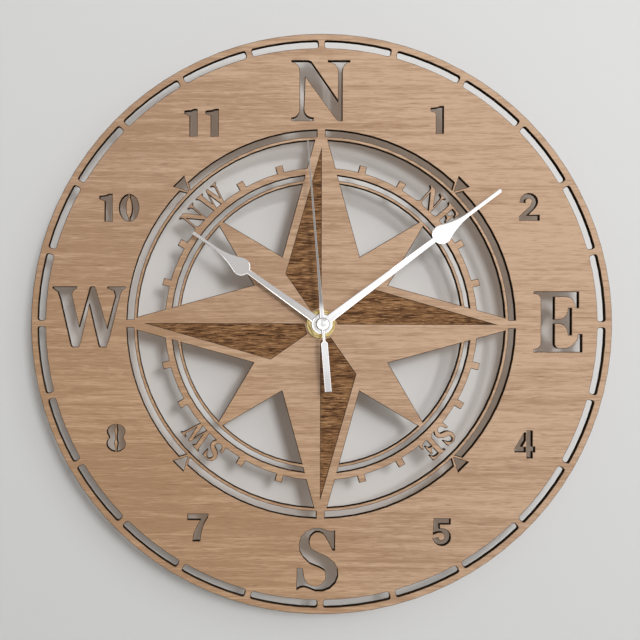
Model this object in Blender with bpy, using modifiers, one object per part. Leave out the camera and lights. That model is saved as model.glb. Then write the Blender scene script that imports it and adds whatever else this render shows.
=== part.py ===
"""Pierced wooden compass wall clock with a battery quartz movement, in metres with +Z up.

The wall is the plane Y = 0, the dial faces -Y, and the hands turn about the Y axis through the origin.
Each piece is drawn as it is seen from the front, X to the right, Y up and Z towards the viewer, and its
parent empty stands it upright. A height above the wall is called a level.
"""

import math

import bmesh
import bpy
from mathutils import Matrix

MM = 0.001
CLOCK_NAME = "compass_wall_clock"

# Fits and mesh settings
SEAT_GAP = 0.3 * MM
PRESS_GAP = 0.05 * MM
RUNNING_CLEARANCE = 0.08 * MM
OVERRUN = 1.0 * MM
ARC_TOLERANCE = 0.1 * MM
MERGE_DISTANCE = 0.01 * MM
WELD_DISTANCE = 0.001 * MM
ROUND_STEPS = 24
HIDDEN_STEPS = 16
PIN_STEPS = 12
CORNER_STEPS = 4
GLYPH_ARC_STEP = 24.0
HAND_ARC_STEP = 15.0
SMOOTH_ANGLE = 30.0
FLAT_ANGLE = 0.1
SMALL_ARC_STEP = 45.0

# Dial, from the rim inwards
DIAL_DIAMETER = 300.0 * MM
DIAL_THICKNESS = 3.0 * MM
RIM_WIDTH = 3.5 * MM
RIM_SLOT_WIDTH = 3.9 * MM
RIM_SLOTS = 24
RIM_BRIDGE = 3.3 * MM
RIM_SLOT_CORNER = 1.2 * MM
CORNER_POINTS = 3
BAND_WIDTH = 42.2 * MM
GROOVE_WIDTH = 3.6 * MM
GROOVE_BRIDGE = 4.4 * MM
OUTER_RING_WIDTH = 1.7 * MM
GAP_WIDTH = 14.3 * MM
TOOTH_RING_WIDTH = 3.5 * MM
TOOTH_WIDTH = 3.7 * MM
TOOTH_HEIGHT = 3.7 * MM
TOOTH_ANGLES = (15, 30, 60, 75)
INNER_SLOT_WIDTH = 2.7 * MM
INNER_RING_WIDTH = 1.6 * MM
MARKER_LENGTH = 6.9 * MM
MARKER_WIDTH = 7.4 * MM
MARKER_WEB = 1.3 * MM
MARKER_REACH = 0.4 * MM
QUARTERS = (0, 90, 180, 270)
DIAGONALS = (45, 135, 225, 315)

# Star
NOTCH_RADIUS = 40.0 * MM
NOTCH_ANGLE = 30
POINT_NECK = 6.8 * MM
MINOR_NECK = 3.0 * MM
KITE_TIP_MARGIN = 5.6 * MM
KITE_SIDE = 18.1 * MM
KITE_SHOULDER = 25.9 * MM
KITE_FOOT_RADIUS = 8.8 * MM
KITE_DEPTH = 0.35 * MM

# Numerals and letters
NUMERAL_HEIGHT_SHARE = 0.33
LETTER_HEIGHT_SHARE = 0.735
SMALL_LETTER_HEIGHT = 11.0 * MM
SMALL_LETTER_SPACE = 0.7 * MM
SMALL_LETTER_SINK = 0.6 * MM
SMALL_LETTER_WEIGHT = 0.2 * MM

# Each numeral's clock angle and how far it sits from the middle of the band, in shares of its height
NUMERAL_SHARES = (
    ("1", 30, (-0.07, 0.02)),
    ("2", 60, (0.15, 0.00)),
    ("4", 120, (0.005, -0.08)),
    ("5", 150, (0.135, -0.15)),
    ("7", 210, (-0.19, -0.015)),
    ("8", 240, (-0.04, 0.105)),
    ("10", 300, (0.06, -0.06)),
    ("11", 330, (-0.087, -0.09)),
)
DIGIT_SPACE_SHARES = {"10": 0.264, "11": 0.327}
LETTER_SHARES = (
    ("N", 0, (-0.01, -0.03)),
    ("E", 90, (0.021, 0.044)),
    ("S", 180, (-0.05, -0.01)),
    ("W", 270, (0.05, 0.11)),
)
SMALL_PAIRS = (("N", "E"), ("S", "E"), ("S", "W"), ("N", "W"))

# Outlines in shares of the character's height, from its lower left. A pair is a point, and six numbers are
# an arc: its centre, its two radii, and the angles from which and to which it runs.
GLYPH_SHARES = {
    "N": (((0, 1), (0.275, 1), (0.325, 0.978), (0.362, 0.925), (0.778, 0.325),
           (0.607, 0.827, 0.171, 0.153, 0, 90), (0.607, 1), (0.967, 1),
           (0.967, 0.827, 0.128, 0.153, 90, 180), (0.839, 0), (0.79, 0), (0.739, 0.035), (0.222, 0.745),
           (0.356, 0.19, 0.156, 0.145, 180, 270), (0.356, 0), (0, 0),
           (0, 0.19, 0.137, 0.145, 270, 360), (0, 0.827, 0.137, 0.153, 0, 90)),),
    "E": (((0, 1), (0.74, 1), (0.74, 0.736), (0.540, 0.736, 0.155, 0.187, 0, 90), (0.341, 0.923),
           (0.341, 0.537), (0.428, 0.727, 0.144, 0.19, 270, 360), (0.624, 0.727), (0.624, 0.283),
           (0.428, 0.283, 0.144, 0.19, 0, 90), (0.341, 0.473), (0.42, 0.14, 0.079, 0.082, 180, 270),
           (0.508, 0.293, 0.232, 0.235, 270, 360), (0.797, 0.293), (0.797, 0), (0, 0),
           (0, 0.158, 0.122, 0.119, 270, 360), (0, 0.865, 0.122, 0.112, 0, 90)),),
    "S": (((0.628, 0.98), (0.628, 0.658), (0.598, 0.661), (0.551, 0.763),
           (0.353, 0.788, 0.152, 0.178, 30, 215), (0.334, 0.622), (0.492, 0.556),
           (0.372, 0.269, 0.313, 0.296, 62, -125), (0.118, 0.045), (0.061, 0.036), (0, 0.004),
           (0.009, 0.355), (0.09, 0.348), (0.3, 0.237, 0.189, 0.188, 190, 385), (0.4, 0.362),
           (0.22, 0.435), (0.34, 0.731, 0.3, 0.296, 220, 60), (0.582, 0.967)),),
    "W": (((0, 1), (0.395, 1), (0.395, 0.98), (0.333, 0.94), (0.309, 0.869), (0.438, 0.322),
           (0.619, 0.984), (0.632, 1), (0.692, 1), (0.711, 0.959), (0.903, 0.296), (1.047, 0.853),
           (1.018, 0.94), (0.915, 0.981), (0.915, 1), (1.206, 1), (1.206, 0.981), (1.143, 0.94),
           (1.113, 0.853), (0.929, 0.105), (0.883, 0), (0.784, 0), (0.764, 0.04), (0.603, 0.726),
           (0.467, 0.105), (0.428, 0), (0.32, 0), (0.3, 0.032), (0.125, 0.793), (0.083, 0.92),
           (0, 0.98)),),
    "1": (((0, 0.928), (0.24, 0.957), (0.34, 1), (0.46, 1), (0.46, 0), (0.194, 0), (0.194, 0.77),
           (0, 0.835)),),
    "2": (((0, 0), (0.729, 0), (0.729, 0.186), (0.293, 0.186), (0.571, 0.457),
           (0.35, 0.693, 0.321, 0.30, -25, 165), (0.014, 0.686), (0.207, 0.65),
           (0.336, 0.70, 0.136, 0.129, 190, -20), (0.407, 0.514), (0, 0.129)),),
    "4": (((0.345, 0.928), (0.388, 0.928), (0.388, 0.647), (0.245, 0.403), (0.388, 0.403),
           (0.388, 0.223), (0, 0.223), (0, 0.345)),
          ((0.446, 1), (0.64, 1), (0.64, 0.41), (0.734, 0.41), (0.734, 0.223), (0.64, 0.223),
           (0.64, 0), (0.446, 0))),
    "5": (((0.041, 1), (0.637, 1), (0.637, 0.795), (0.24, 0.795), (0.24, 0.61),
           (0.329, 0.315, 0.322, 0.315, 95, -165), (0, 0.27), (0.185, 0.288),
           (0.308, 0.336, 0.137, 0.158, 200, 450), (0.178, 0.486), (0.007, 0.425)),),
    "7": (((0.014, 1), (0.746, 1), (0.746, 0.90), (0.60, 0.66), (0.50, 0.35), (0.451, 0), (0.197, 0),
           (0.23, 0.25), (0.33, 0.5), (0.49, 0.79), (0, 0.79)),),
    "8": (((0.345, 0.746, 0.333, 0.26, 96, 215), (0.345, 0.289, 0.345, 0.289, 135, 264), (0.309, 0.1),
           (0.27, 0.289), (0.309, 0.48), (0.309, 0.56), (0.285, 0.746), (0.312, 0.9)),
          ((0.345, 0.746, 0.333, 0.26, 84, -35), (0.345, 0.289, 0.345, 0.289, 45, -84), (0.381, 0.1),
           (0.42, 0.289), (0.381, 0.48), (0.381, 0.56), (0.405, 0.746), (0.378, 0.9))),
    "0": (((0.366, 0.5, 0.366, 0.5, 95.5, 264.5), (0.366, 0.5, 0.12, 0.38, 252, 108)),
          ((0.366, 0.5, 0.366, 0.5, 84.5, -84.5), (0.366, 0.5, 0.12, 0.38, -72, 72))),
}

# Movement case and rear cover
CASE_DEPTH = 16.0 * MM
CASE_WALL = 1.5 * MM
CASE_FACE = 1.4 * MM
CASE_CORNER = 3.0 * MM
COVER_THICKNESS = 1.5 * MM
BOSS_RADIUS = 1.1 * MM
BOSS_HEIGHT = 2.2 * MM
POST_RADIUS = 1.3 * MM
POST_INSET = 2.3 * MM
LOWER_POST_LIFT = 2.4 * MM

# Battery, an AA cell, and its bay
CELL_DIAMETER = 14.0 * MM
CELL_LENGTH = 50.5 * MM
CELL_NUB_DIAMETER = 5.5 * MM
CELL_NUB_LENGTH = 1.0 * MM
CELL_EDGE = 0.8 * MM
BAY_WALL = 1.0 * MM
BAY_WALL_NOTCH = 1.6 * MM
CONTACT_THICKNESS = 0.4 * MM
CONTACT_WIDTH = 8.0 * MM
CONTACT_BULGE = 1.0 * MM
CONTACT_BULGE_RADIUS = 3.0 * MM
RISER_WIDTH = 3.0 * MM
RISER_RISE = 6.6 * MM

# Gear train: teeth, and the distances between arbors
ROTOR_TEETH = 6
INTERMEDIATE_TEETH = 36
INTERMEDIATE_PINION_TEETH = 6
SECONDS_TEETH = 30
SECONDS_PINION_TEETH = 6
THIRD_TEETH = 45
THIRD_PINION_TEETH = 6
CENTRE_TEETH = 48
CANNON_TEETH = 8
MOTION_TEETH = 24
MOTION_PINION_TEETH = 6
HOUR_TEETH = 24
KNOB_TEETH = 8
ROTOR_DISTANCE = 8.4 * MM
MOTION_DISTANCE = 9.0 * MM
CENTRE_GEAR_RADIUS = 10.1 * MM
WHEEL_TO_WALL = 0.5 * MM
WHEEL_TO_ARBOR = 0.5 * MM

# Directions from one arbor to the next, in degrees counter-clockwise from the right
INTERMEDIATE_DIRECTION = 110
ROTOR_DIRECTION = 150
THIRD_DIRECTION = 20
MOTION_DIRECTION = 190
KNOB_DIRECTION = 170

# Tooth form in modules and in shares of the tooth pitch
ADDENDUM_SHARE = 0.8
DEDENDUM_SHARE = 1.1
TOOTH_TIP_SHARE = 0.22
WHEEL_ROOT_SHARE = 0.56
PINION_ROOT_SHARE = 0.60

# Layers of the train, counted from the rear, and its levels
INTERMEDIATE_LAYER = 0
SECONDS_LAYER = 1
THIRD_LAYER = 2
CENTRE_LAYER = 3
MOTION_LAYER = 4
HOUR_LAYER = 5
TRAIN_LAYERS = 6
BRIDGE_STANDOFF = 0.5 * MM
BRIDGE_THICKNESS = 1.0 * MM
BRIDGE_MARGIN = 1.0 * MM
TRAIN_STANDOFF = 0.6 * MM
WHEEL_THICKNESS = 0.8 * MM
PINION_PROUD = 0.2 * MM
PIVOT_RADIUS = 0.45 * MM
PIVOT_SHAKE = 0.1 * MM
ARBOR_ENTRY = 1.2 * MM
MOTION_POST_RADIUS = 0.6 * MM
MOTION_POST_PROUD = 0.3 * MM

# Centre stack
SECONDS_ARBOR_RADIUS = 0.5 * MM
MINUTE_PIPE_RADIUS = 1.6 * MM
HOUR_PIPE_RADIUS = 2.5 * MM
BUSH_RADIUS = 4.0 * MM
BUSH_FLANGE_RADIUS = 6.0 * MM
BUSH_FLANGE_THICKNESS = 1.2 * MM
BUSH_PROUD = 0.6 * MM
WASHER_RADIUS = 7.5 * MM
WASHER_THICKNESS = 0.5 * MM
RUBBER_RADIUS = 11.0 * MM
RUBBER_THICKNESS = 1.0 * MM
NUT_ACROSS_FLATS = 12.5 * MM
NUT_HEIGHT = 2.2 * MM
NUT_SIDES = 6
NUT_TURN = 35.0
NUT_CHAMFER = 0.35 * MM

# Rotor, stator, coil
MAGNET_RADIUS = 2.6 * MM
MAGNET_LENGTH = 4.0 * MM
AIR_GAP = 0.4 * MM
STATOR_THICKNESS = 1.0 * MM
STATOR_MARGIN = 0.9 * MM
STATOR_WEB = 1.0 * MM
STATOR_ARM_WIDTH = 3.4 * MM
COIL_MARGIN = 1.0 * MM
COIL_RADIUS = 2.7 * MM
FLANGE_RADIUS = 3.0 * MM
FLANGE_THICKNESS = 0.7 * MM
SPOOL_RADIUS = 1.8 * MM
CORE_WIDTH = 1.6 * MM
CORE_THICKNESS = 1.0 * MM

# Circuit board
BOARD_MARGIN = 0.8 * MM
BOARD_WIDTH = 10.3 * MM
BOARD_THICKNESS = 0.8 * MM
BOARD_LIFT = 5.6 * MM
CRYSTAL_PLACE_SHARE = 0.25
CHIP_PLACE_SHARE = 0.75
CRYSTAL_RADIUS = 1.0 * MM
CRYSTAL_LENGTH = 6.0 * MM
CHIP_SIDE = 4.0 * MM
CHIP_HEIGHT = 1.0 * MM

# Hanger
HANGER_WIDTH = 18.0 * MM
HANGER_THICKNESS = 0.8 * MM
HANGER_FOOT = 13.0 * MM
HANGER_STANDOFF = 1.0 * MM
HANGER_EAR_LEVEL = 2.0 * MM
HANGER_EAR_HEIGHT = 16.0 * MM
NAIL_HOLE_RADIUS = 3.5 * MM
NAIL_HOLE_LIFT = 6.5 * MM
NAIL_SLOT_WIDTH = 3.0 * MM
NAIL_SLOT_LENGTH = 3.5 * MM

# Hands
HAND_THICKNESS = 0.5 * MM
HAND_CLEARANCE = 1.0 * MM
MINUTE_LIFT = 1.5 * MM
SECOND_LIFT = 0.6 * MM
COLLAR_WALL = 0.7 * MM
COLLAR_LENGTH = 0.7 * MM
PIPE_PROUD = 0.2 * MM
MINUTE_ANGLE = 53.0
HOUR_ANGLE = -54.7
SECOND_ANGLE = -4.8
MINUTE_LENGTH = 113.5 * MM
MINUTE_HUB_RADIUS = 5.1 * MM
MINUTE_ROOT_WIDTH = 4.1 * MM
MINUTE_NECK_WIDTH = 2.5 * MM
MINUTE_BULB_PLACE = 75.7 * MM
MINUTE_BULB_RADIUS = 4.95 * MM
MINUTE_TAPER_PLACE = 93.0 * MM
MINUTE_TIP_WIDTH = 2.0 * MM
BULB_LEAVE_ANGLE = 25.0
TAPER_STEPS = 6
HOUR_LENGTH = 81.0 * MM
HOUR_HUB_RADIUS = 5.3 * MM
HOUR_ROOT_WIDTH = 4.1 * MM
HOUR_NECK_WIDTH = 2.5 * MM
HOUR_BULB_PLACE = 50.5 * MM
HOUR_BULB_RADIUS = 4.6 * MM
HOUR_TAPER_PLACE = 67.5 * MM
HOUR_TIP_WIDTH = 1.7 * MM
SECOND_THICKNESS = 0.3 * MM
SECOND_LENGTH = 93.0 * MM
SECOND_HUB_RADIUS = 2.4 * MM
SECOND_ROOT_WIDTH = 2.2 * MM
SECOND_WAIST_WIDTH = 1.1 * MM
SECOND_WAIST_PLACE = 28.0 * MM
SECOND_TIP_WIDTH = 0.7 * MM
SECOND_NECK_WIDTH = 1.2 * MM
PADDLE_START = 9.8 * MM
PADDLE_END = 34.4 * MM
PADDLE_WIDTH = 3.3 * MM
MINUTE_NUT_RADIUS = 2.9 * MM
MINUTE_NUT_HEIGHT = 1.0 * MM
CAP_RADIUS = 3.3 * MM
CAP_HEIGHT = 1.5 * MM
CAP_EDGE = 0.5 * MM
CAP_ARC_STEP = 30.0

# Setting knob
KNOB_RADIUS = 5.0 * MM
KNOB_THICKNESS = 1.4 * MM
KNOB_SINK = 0.3 * MM
KNOB_NOTCHES = 18
KNOB_NOTCH_DEPTH = 0.45 * MM
KNOB_NOTCH_STEPS = 4
KNOB_STEM_RADIUS = 1.2 * MM

# Radii and levels that follow
DIAL_RADIUS = DIAL_DIAMETER / 2
RIM_SLOT_OUTER = DIAL_RADIUS - RIM_WIDTH
RIM_SLOT_INNER = RIM_SLOT_OUTER - RIM_SLOT_WIDTH
GROOVE_OUTER = RIM_SLOT_INNER - BAND_WIDTH
GROOVE_INNER = GROOVE_OUTER - GROOVE_WIDTH
GAP_OUTER = GROOVE_INNER - OUTER_RING_WIDTH
GAP_INNER = GAP_OUTER - GAP_WIDTH
INNER_SLOT_OUTER = GAP_INNER - TOOTH_RING_WIDTH
INNER_SLOT_INNER = INNER_SLOT_OUTER - INNER_SLOT_WIDTH
STAR_RADIUS = INNER_SLOT_INNER - INNER_RING_WIDTH
BAND_MIDDLE = (RIM_SLOT_INNER + GROOVE_OUTER) / 2
NUMERAL_HEIGHT = NUMERAL_HEIGHT_SHARE * BAND_WIDTH
LETTER_HEIGHT = LETTER_HEIGHT_SHARE * BAND_WIDTH
KITE_TIP_RADIUS = GAP_OUTER - KITE_TIP_MARGIN
NOTCH_POINT = (NOTCH_RADIUS * math.sin(math.radians(NOTCH_ANGLE)),
               NOTCH_RADIUS * math.cos(math.radians(NOTCH_ANGLE)))

CASE_WIDTH = CELL_LENGTH + CONTACT_BULGE + 2 * (SEAT_GAP + CONTACT_THICKNESS + PRESS_GAP + CASE_WALL)
INNER_HALF_WIDTH = CASE_WIDTH / 2 - CASE_WALL
BAY_WALL_HIGH = -CENTRE_GEAR_RADIUS - WHEEL_TO_WALL
BAY_WALL_LOW = BAY_WALL_HIGH - BAY_WALL
CELL_Y = BAY_WALL_LOW - 2 * SEAT_GAP - CELL_DIAMETER / 2
INNER_HALF_HEIGHT = SEAT_GAP + CELL_DIAMETER / 2 - CELL_Y
CASE_HEIGHT = 2 * (INNER_HALF_HEIGHT + CASE_WALL)
CASE_BACK = COVER_THICKNESS + SEAT_GAP
FACE_INSIDE = CASE_DEPTH - CASE_FACE
HANGER_BACK = CASE_DEPTH + SEAT_GAP
RUBBER_BACK = HANGER_BACK + HANGER_THICKNESS + SEAT_GAP
DIAL_BACK = RUBBER_BACK + RUBBER_THICKNESS + SEAT_GAP
WASHER_BACK = DIAL_BACK + DIAL_THICKNESS + SEAT_GAP
NUT_BACK = WASHER_BACK + WASHER_THICKNESS + SEAT_GAP
BUSH_FRONT = NUT_BACK + NUT_HEIGHT + BUSH_PROUD
BUSH_FLANGE_BACK = FACE_INSIDE - SEAT_GAP - BUSH_FLANGE_THICKNESS
HOUR_HAND_BACK = BUSH_FRONT + HAND_CLEARANCE
HOUR_PIPE_FRONT = HOUR_HAND_BACK + HAND_THICKNESS + PIPE_PROUD
MINUTE_HAND_BACK = HOUR_HAND_BACK + HAND_THICKNESS + MINUTE_LIFT
MINUTE_NUT_BACK = MINUTE_HAND_BACK + HAND_THICKNESS + SEAT_GAP
MINUTE_PIPE_FRONT = MINUTE_NUT_BACK + MINUTE_NUT_HEIGHT
SECOND_HAND_BACK = MINUTE_PIPE_FRONT + SECOND_LIFT
CAP_BACK = SECOND_HAND_BACK + SECOND_THICKNESS + SEAT_GAP
SECONDS_ARBOR_FRONT = SECOND_HAND_BACK + SECOND_THICKNESS

BRIDGE_BACK = COVER_THICKNESS + BRIDGE_STANDOFF
BRIDGE_FRONT = BRIDGE_BACK + BRIDGE_THICKNESS
PIVOT_BACK = BRIDGE_BACK + PIVOT_SHAKE
PIVOT_FRONT = FACE_INSIDE - BOSS_HEIGHT + ARBOR_ENTRY

CELL_LEVEL = FACE_INSIDE - SEAT_GAP - CELL_DIAMETER / 2
CONTACT_FACE = INNER_HALF_WIDTH - PRESS_GAP - CONTACT_THICKNESS
CELL_TIP = CONTACT_FACE - SEAT_GAP
RISER_TOP = BAY_WALL_HIGH + RISER_RISE
LAYER_PITCH = (BUSH_FLANGE_BACK - BRIDGE_FRONT - 2 * TRAIN_STANDOFF) / TRAIN_LAYERS

# The centre gear sets the distance to the third arbor, and the seconds wheel fills the room beside that arbor
THIRD_DISTANCE = (CENTRE_GEAR_RADIUS * (CENTRE_TEETH + THIRD_PINION_TEETH)
                  / (CENTRE_TEETH + 2 * ADDENDUM_SHARE))
SECONDS_WHEEL_TIP = THIRD_DISTANCE - PIVOT_RADIUS - WHEEL_TO_ARBOR
INTERMEDIATE_DISTANCE = (SECONDS_WHEEL_TIP * (SECONDS_TEETH + INTERMEDIATE_PINION_TEETH)
                         / (SECONDS_TEETH + 2 * ADDENDUM_SHARE))


def layer_back(number):
    """Rear level of a wheel in the train."""
    return BRIDGE_FRONT + TRAIN_STANDOFF + number * LAYER_PITCH


def layer_front(number):
    """Front level of a wheel in the train."""
    return layer_back(number) + WHEEL_THICKNESS


def stepped(start, distance, direction):
    """The point at a distance and a direction from another."""
    angle = math.radians(direction)
    return (start[0] + distance * math.cos(angle), start[1] + distance * math.sin(angle))


CENTRE = (0, 0)
INTERMEDIATE_PLACE = stepped(CENTRE, INTERMEDIATE_DISTANCE, INTERMEDIATE_DIRECTION)
ROTOR_PLACE = stepped(INTERMEDIATE_PLACE, ROTOR_DISTANCE, ROTOR_DIRECTION)
THIRD_PLACE = stepped(CENTRE, THIRD_DISTANCE, THIRD_DIRECTION)
MOTION_PLACE = stepped(CENTRE, MOTION_DISTANCE, MOTION_DIRECTION)
KNOB_PLACE = stepped(MOTION_PLACE, MOTION_DISTANCE, KNOB_DIRECTION)
POST_X = INNER_HALF_WIDTH - POST_INSET
UPPER_POST_Y = INNER_HALF_HEIGHT - POST_INSET
LOWER_POST_Y = BAY_WALL_HIGH + LOWER_POST_LIFT

STATOR_BACK = layer_front(THIRD_LAYER) + SEAT_GAP
STATOR_FRONT = STATOR_BACK + STATOR_THICKNESS
STATOR_LOBE = MAGNET_RADIUS + AIR_GAP + STATOR_WEB
STATOR_LEFT = -POST_X + POST_RADIUS + STATOR_MARGIN
BOARD_RIGHT = POST_X - POST_RADIUS - BOARD_MARGIN
BOARD_LEFT = BOARD_RIGHT - BOARD_WIDTH
STATOR_RIGHT = BOARD_LEFT - BOARD_MARGIN
STATOR_BOTTOM = INTERMEDIATE_PLACE[1] + BOSS_RADIUS + STATOR_MARGIN
STATOR_BAR_TOP = ROTOR_PLACE[1] + STATOR_LOBE
MAGNET_BACK = (STATOR_BACK + STATOR_FRONT - MAGNET_LENGTH) / 2
COIL_LEFT = STATOR_LEFT + STATOR_ARM_WIDTH + COIL_MARGIN
COIL_RIGHT = STATOR_RIGHT - STATOR_ARM_WIDTH - COIL_MARGIN
COIL_Y = STATOR_BAR_TOP + SEAT_GAP + FLANGE_RADIUS
COIL_LEVEL = STATOR_FRONT + SEAT_GAP + CORE_THICKNESS / 2
STATOR_TOP = COIL_Y + FLANGE_RADIUS

BOARD_BOTTOM = THIRD_PLACE[1] + THIRD_DISTANCE + BOARD_MARGIN
BOARD_TOP = INNER_HALF_HEIGHT - BOARD_MARGIN
BOARD_LEVEL = BRIDGE_FRONT + BOARD_LIFT


# Scene helpers
def clear_scene():
    """Removes every object of the scene."""
    for old in list(bpy.data.objects):
        bpy.data.objects.remove(old, do_unlink=True)


def new_collection(name):
    """A collection of the scene."""
    made = bpy.data.collections.new(name)
    bpy.context.scene.collection.children.link(made)
    return made


def new_finish(name, colour, roughness, metallic):
    """A plain surface with a colour, a roughness and a metallic value."""
    made = bpy.data.materials.new(name)
    made.use_nodes = True
    shader = made.node_tree.nodes["Principled BSDF"]
    shader.inputs["Base Color"].default_value = (*colour, 1)
    shader.inputs["Roughness"].default_value = roughness
    shader.inputs["Metallic"].default_value = metallic
    return made


def new_axis(name, parent, place, turn):
    """An empty on an axis of the clock, turned clockwise by an angle in degrees."""
    made = bpy.data.objects.new(name, None)
    made.parent = parent
    made.location = (place[0], place[1], 0)
    made.rotation_euler = (0, 0, -math.radians(turn))
    parts.objects.link(made)
    return made


def add_piece(name, mesh, parent, finish, level=0):
    """A named piece of the clock at a level above the wall."""
    made = bpy.data.objects.new(name, mesh)
    made.parent = parent
    made.location = (0, 0, level)
    mesh.materials.clear()
    mesh.materials.append(finish)
    parts.objects.link(made)
    return made


def add_helper(name, mesh, owner, place=CENTRE, level=0):
    """A shape that cuts or completes a piece, placed in the same frame as its owner."""
    made = bpy.data.objects.new(name, mesh)
    made.parent = owner.parent
    made.location = (place[0], place[1], level)
    made.hide_render = True
    made.display_type = "WIRE"
    cutters.objects.link(made)
    return made


def combine(piece, helper, operation):
    """Cuts a helper from a piece, or joins it to the piece."""
    change = piece.modifiers.new(helper.name, "BOOLEAN")
    change.operation = operation
    change.solver = "EXACT"
    change.object = helper
    seam = piece.modifiers.new(helper.name + "_seam", "WELD")
    seam.merge_threshold = WELD_DISTANCE


def cut(piece, name, mesh, place=CENTRE, level=0):
    """Cuts a shape from a piece."""
    helper = add_helper(name, mesh, piece, place, level)
    combine(piece, helper, "DIFFERENCE")
    return helper


def join(piece, name, mesh, place=CENTRE, level=0):
    """Joins a shape to a piece."""
    helper = add_helper(name, mesh, piece, place, level)
    combine(piece, helper, "UNION")
    return helper


# Shape helpers
def flat_mesh(name, loops, thickness):
    """Closed outlines filled and given a thickness, with their rear face at zero."""
    drawn = bpy.data.curves.new(name, "CURVE")
    drawn.dimensions = "2D"
    drawn.fill_mode = "BOTH"
    drawn.extrude = thickness / 2
    for loop in loops:
        spline = drawn.splines.new("POLY")
        spline.points.add(len(loop) - 1)
        for point, (x, y) in zip(spline.points, loop):
            point.co = (x, y, 0, 1)
        spline.use_cyclic_u = True
    source = bpy.data.objects.new(name, drawn)
    parts.objects.link(source)
    bpy.context.view_layer.update()
    graph = bpy.context.evaluated_depsgraph_get()
    mesh = bpy.data.meshes.new_from_object(source.evaluated_get(graph), depsgraph=graph)
    mesh.name = name
    bpy.data.objects.remove(source, do_unlink=True)
    bpy.data.curves.remove(drawn)
    return welded(mesh, Matrix.Translation((0, 0, thickness / 2)))


def welded(mesh, move):
    """Closes the seams of a mesh, joins its level faces, moves it and shades it smooth."""
    work = bmesh.new()
    work.from_mesh(mesh)
    bmesh.ops.remove_doubles(work, verts=work.verts, dist=MERGE_DISTANCE)
    bmesh.ops.dissolve_limit(work, angle_limit=math.radians(FLAT_ANGLE), verts=[], edges=work.edges)
    bmesh.ops.transform(work, matrix=move, verts=work.verts)
    bmesh.ops.recalc_face_normals(work, faces=work.faces)
    work.to_mesh(mesh)
    work.free()
    mesh.shade_smooth()
    mesh.set_sharp_from_angle(angle=math.radians(SMOOTH_ANGLE))
    return mesh


def side_mesh(name, loop, width):
    """An outline drawn in the side view, its first value up and its second towards the viewer."""
    mesh = flat_mesh(name, [loop], width)
    turn = Matrix(((0, 0, 1, 0), (1, 0, 0, 0), (0, 1, 0, 0), (0, 0, 0, 1)))
    return welded(mesh, Matrix.Translation((-width / 2, 0, 0)) @ turn)


def box_mesh(name, low, high):
    """A box between two corners."""
    work = bmesh.new()
    size = [b - a for a, b in zip(low, high)]
    middle = [(a + b) / 2 for a, b in zip(low, high)]
    place = Matrix.Translation(middle) @ Matrix.Diagonal((*size, 1))
    bmesh.ops.create_cube(work, size=1, matrix=place)
    mesh = bpy.data.meshes.new(name)
    work.to_mesh(mesh)
    work.free()
    return mesh


def rod_mesh(name, places, radius, back, front, steps):
    """One round rod, or several, between two levels."""
    work = bmesh.new()
    for x, y in places:
        place = Matrix.Translation((x, y, (back + front) / 2))
        bmesh.ops.create_cone(work, cap_ends=True, segments=steps, radius1=radius, radius2=radius,
                              depth=front - back, matrix=place)
    mesh = bpy.data.meshes.new(name)
    work.to_mesh(mesh)
    work.free()
    mesh.shade_smooth()
    mesh.set_sharp_from_angle(angle=math.radians(SMOOTH_ANGLE))
    return mesh


def add_turned(name, profile, parent, finish, steps, closed=True):
    """A turned piece: radius and level along its outer side from the front, then back up its bore."""
    mesh = bpy.data.meshes.new(name)
    points = [(radius, 0, level) for radius, level in profile]
    edges = [(i, i + 1) for i in range(len(points) - 1)]
    if closed:
        edges.append((len(points) - 1, 0))
    mesh.from_pydata(points, edges, [])
    made = add_piece(name, mesh, parent, finish)
    turn = made.modifiers.new("Turn", "SCREW")
    turn.axis = "Z"
    turn.angle = math.tau
    turn.steps = steps
    turn.render_steps = steps
    turn.use_merge_vertices = True
    turn.merge_threshold = MERGE_DISTANCE
    return made


def add_ring(name, outer, inner, back, front, parent, finish, steps=ROUND_STEPS):
    """A plain ring or pipe between two levels."""
    profile = [(outer, front), (outer, back), (inner, back), (inner, front)]
    return add_turned(name, profile, parent, finish, steps)


def polar(radius, clock_angle):
    """A point at a radius and an angle clockwise from the top."""
    angle = math.radians(clock_angle)
    return (radius * math.sin(angle), radius * math.cos(angle))


def clock_angle_of(point):
    """The angle of a point, clockwise from the top."""
    return math.degrees(math.atan2(point[0], point[1]))


def turned_point(point, clock_angle):
    """A point turned clockwise about the centre."""
    angle = math.radians(clock_angle)
    x, y = point
    return (x * math.cos(angle) + y * math.sin(angle), y * math.cos(angle) - x * math.sin(angle))


def mirrored(loop):
    """A loop mirrored left to right."""
    return [(-x, y) for x, y in loop]


def arc(radius, start, end):
    """Points on an arc about the centre, close enough together for its chords to lie on it."""
    step = math.degrees(2 * math.acos(1 - ARC_TOLERANCE / radius))
    count = max(1, math.ceil(abs(end - start) / step))
    return [polar(radius, start + (end - start) * i / count) for i in range(count + 1)]


def ellipse_arc(centre, radii, start, end, step=GLYPH_ARC_STEP):
    """Points on part of an ellipse, its angles counter-clockwise from the right."""
    count = max(2, math.ceil(abs(end - start) / step))
    angles = [math.radians(start + (end - start) * i / count) for i in range(count + 1)]
    return [(centre[0] + radii[0] * math.cos(a), centre[1] + radii[1] * math.sin(a)) for a in angles]


def circle(radius, place=CENTRE, steps=ROUND_STEPS):
    """A closed circle of points."""
    points = [polar(radius, 360 * i / steps) for i in range(steps)]
    return [(place[0] + x, place[1] + y) for x, y in points]


def rounded_box(left, bottom, right, top, corner):
    """A rectangle with rounded corners."""
    step = 90 / CORNER_STEPS
    corners = ((right - corner, top - corner, 0), (left + corner, top - corner, 90),
               (left + corner, bottom + corner, 180), (right - corner, bottom + corner, 270))
    points = []
    for x, y, start in corners:
        points += ellipse_arc((x, y), (corner, corner), start, start + 90, step)
    return points


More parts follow.
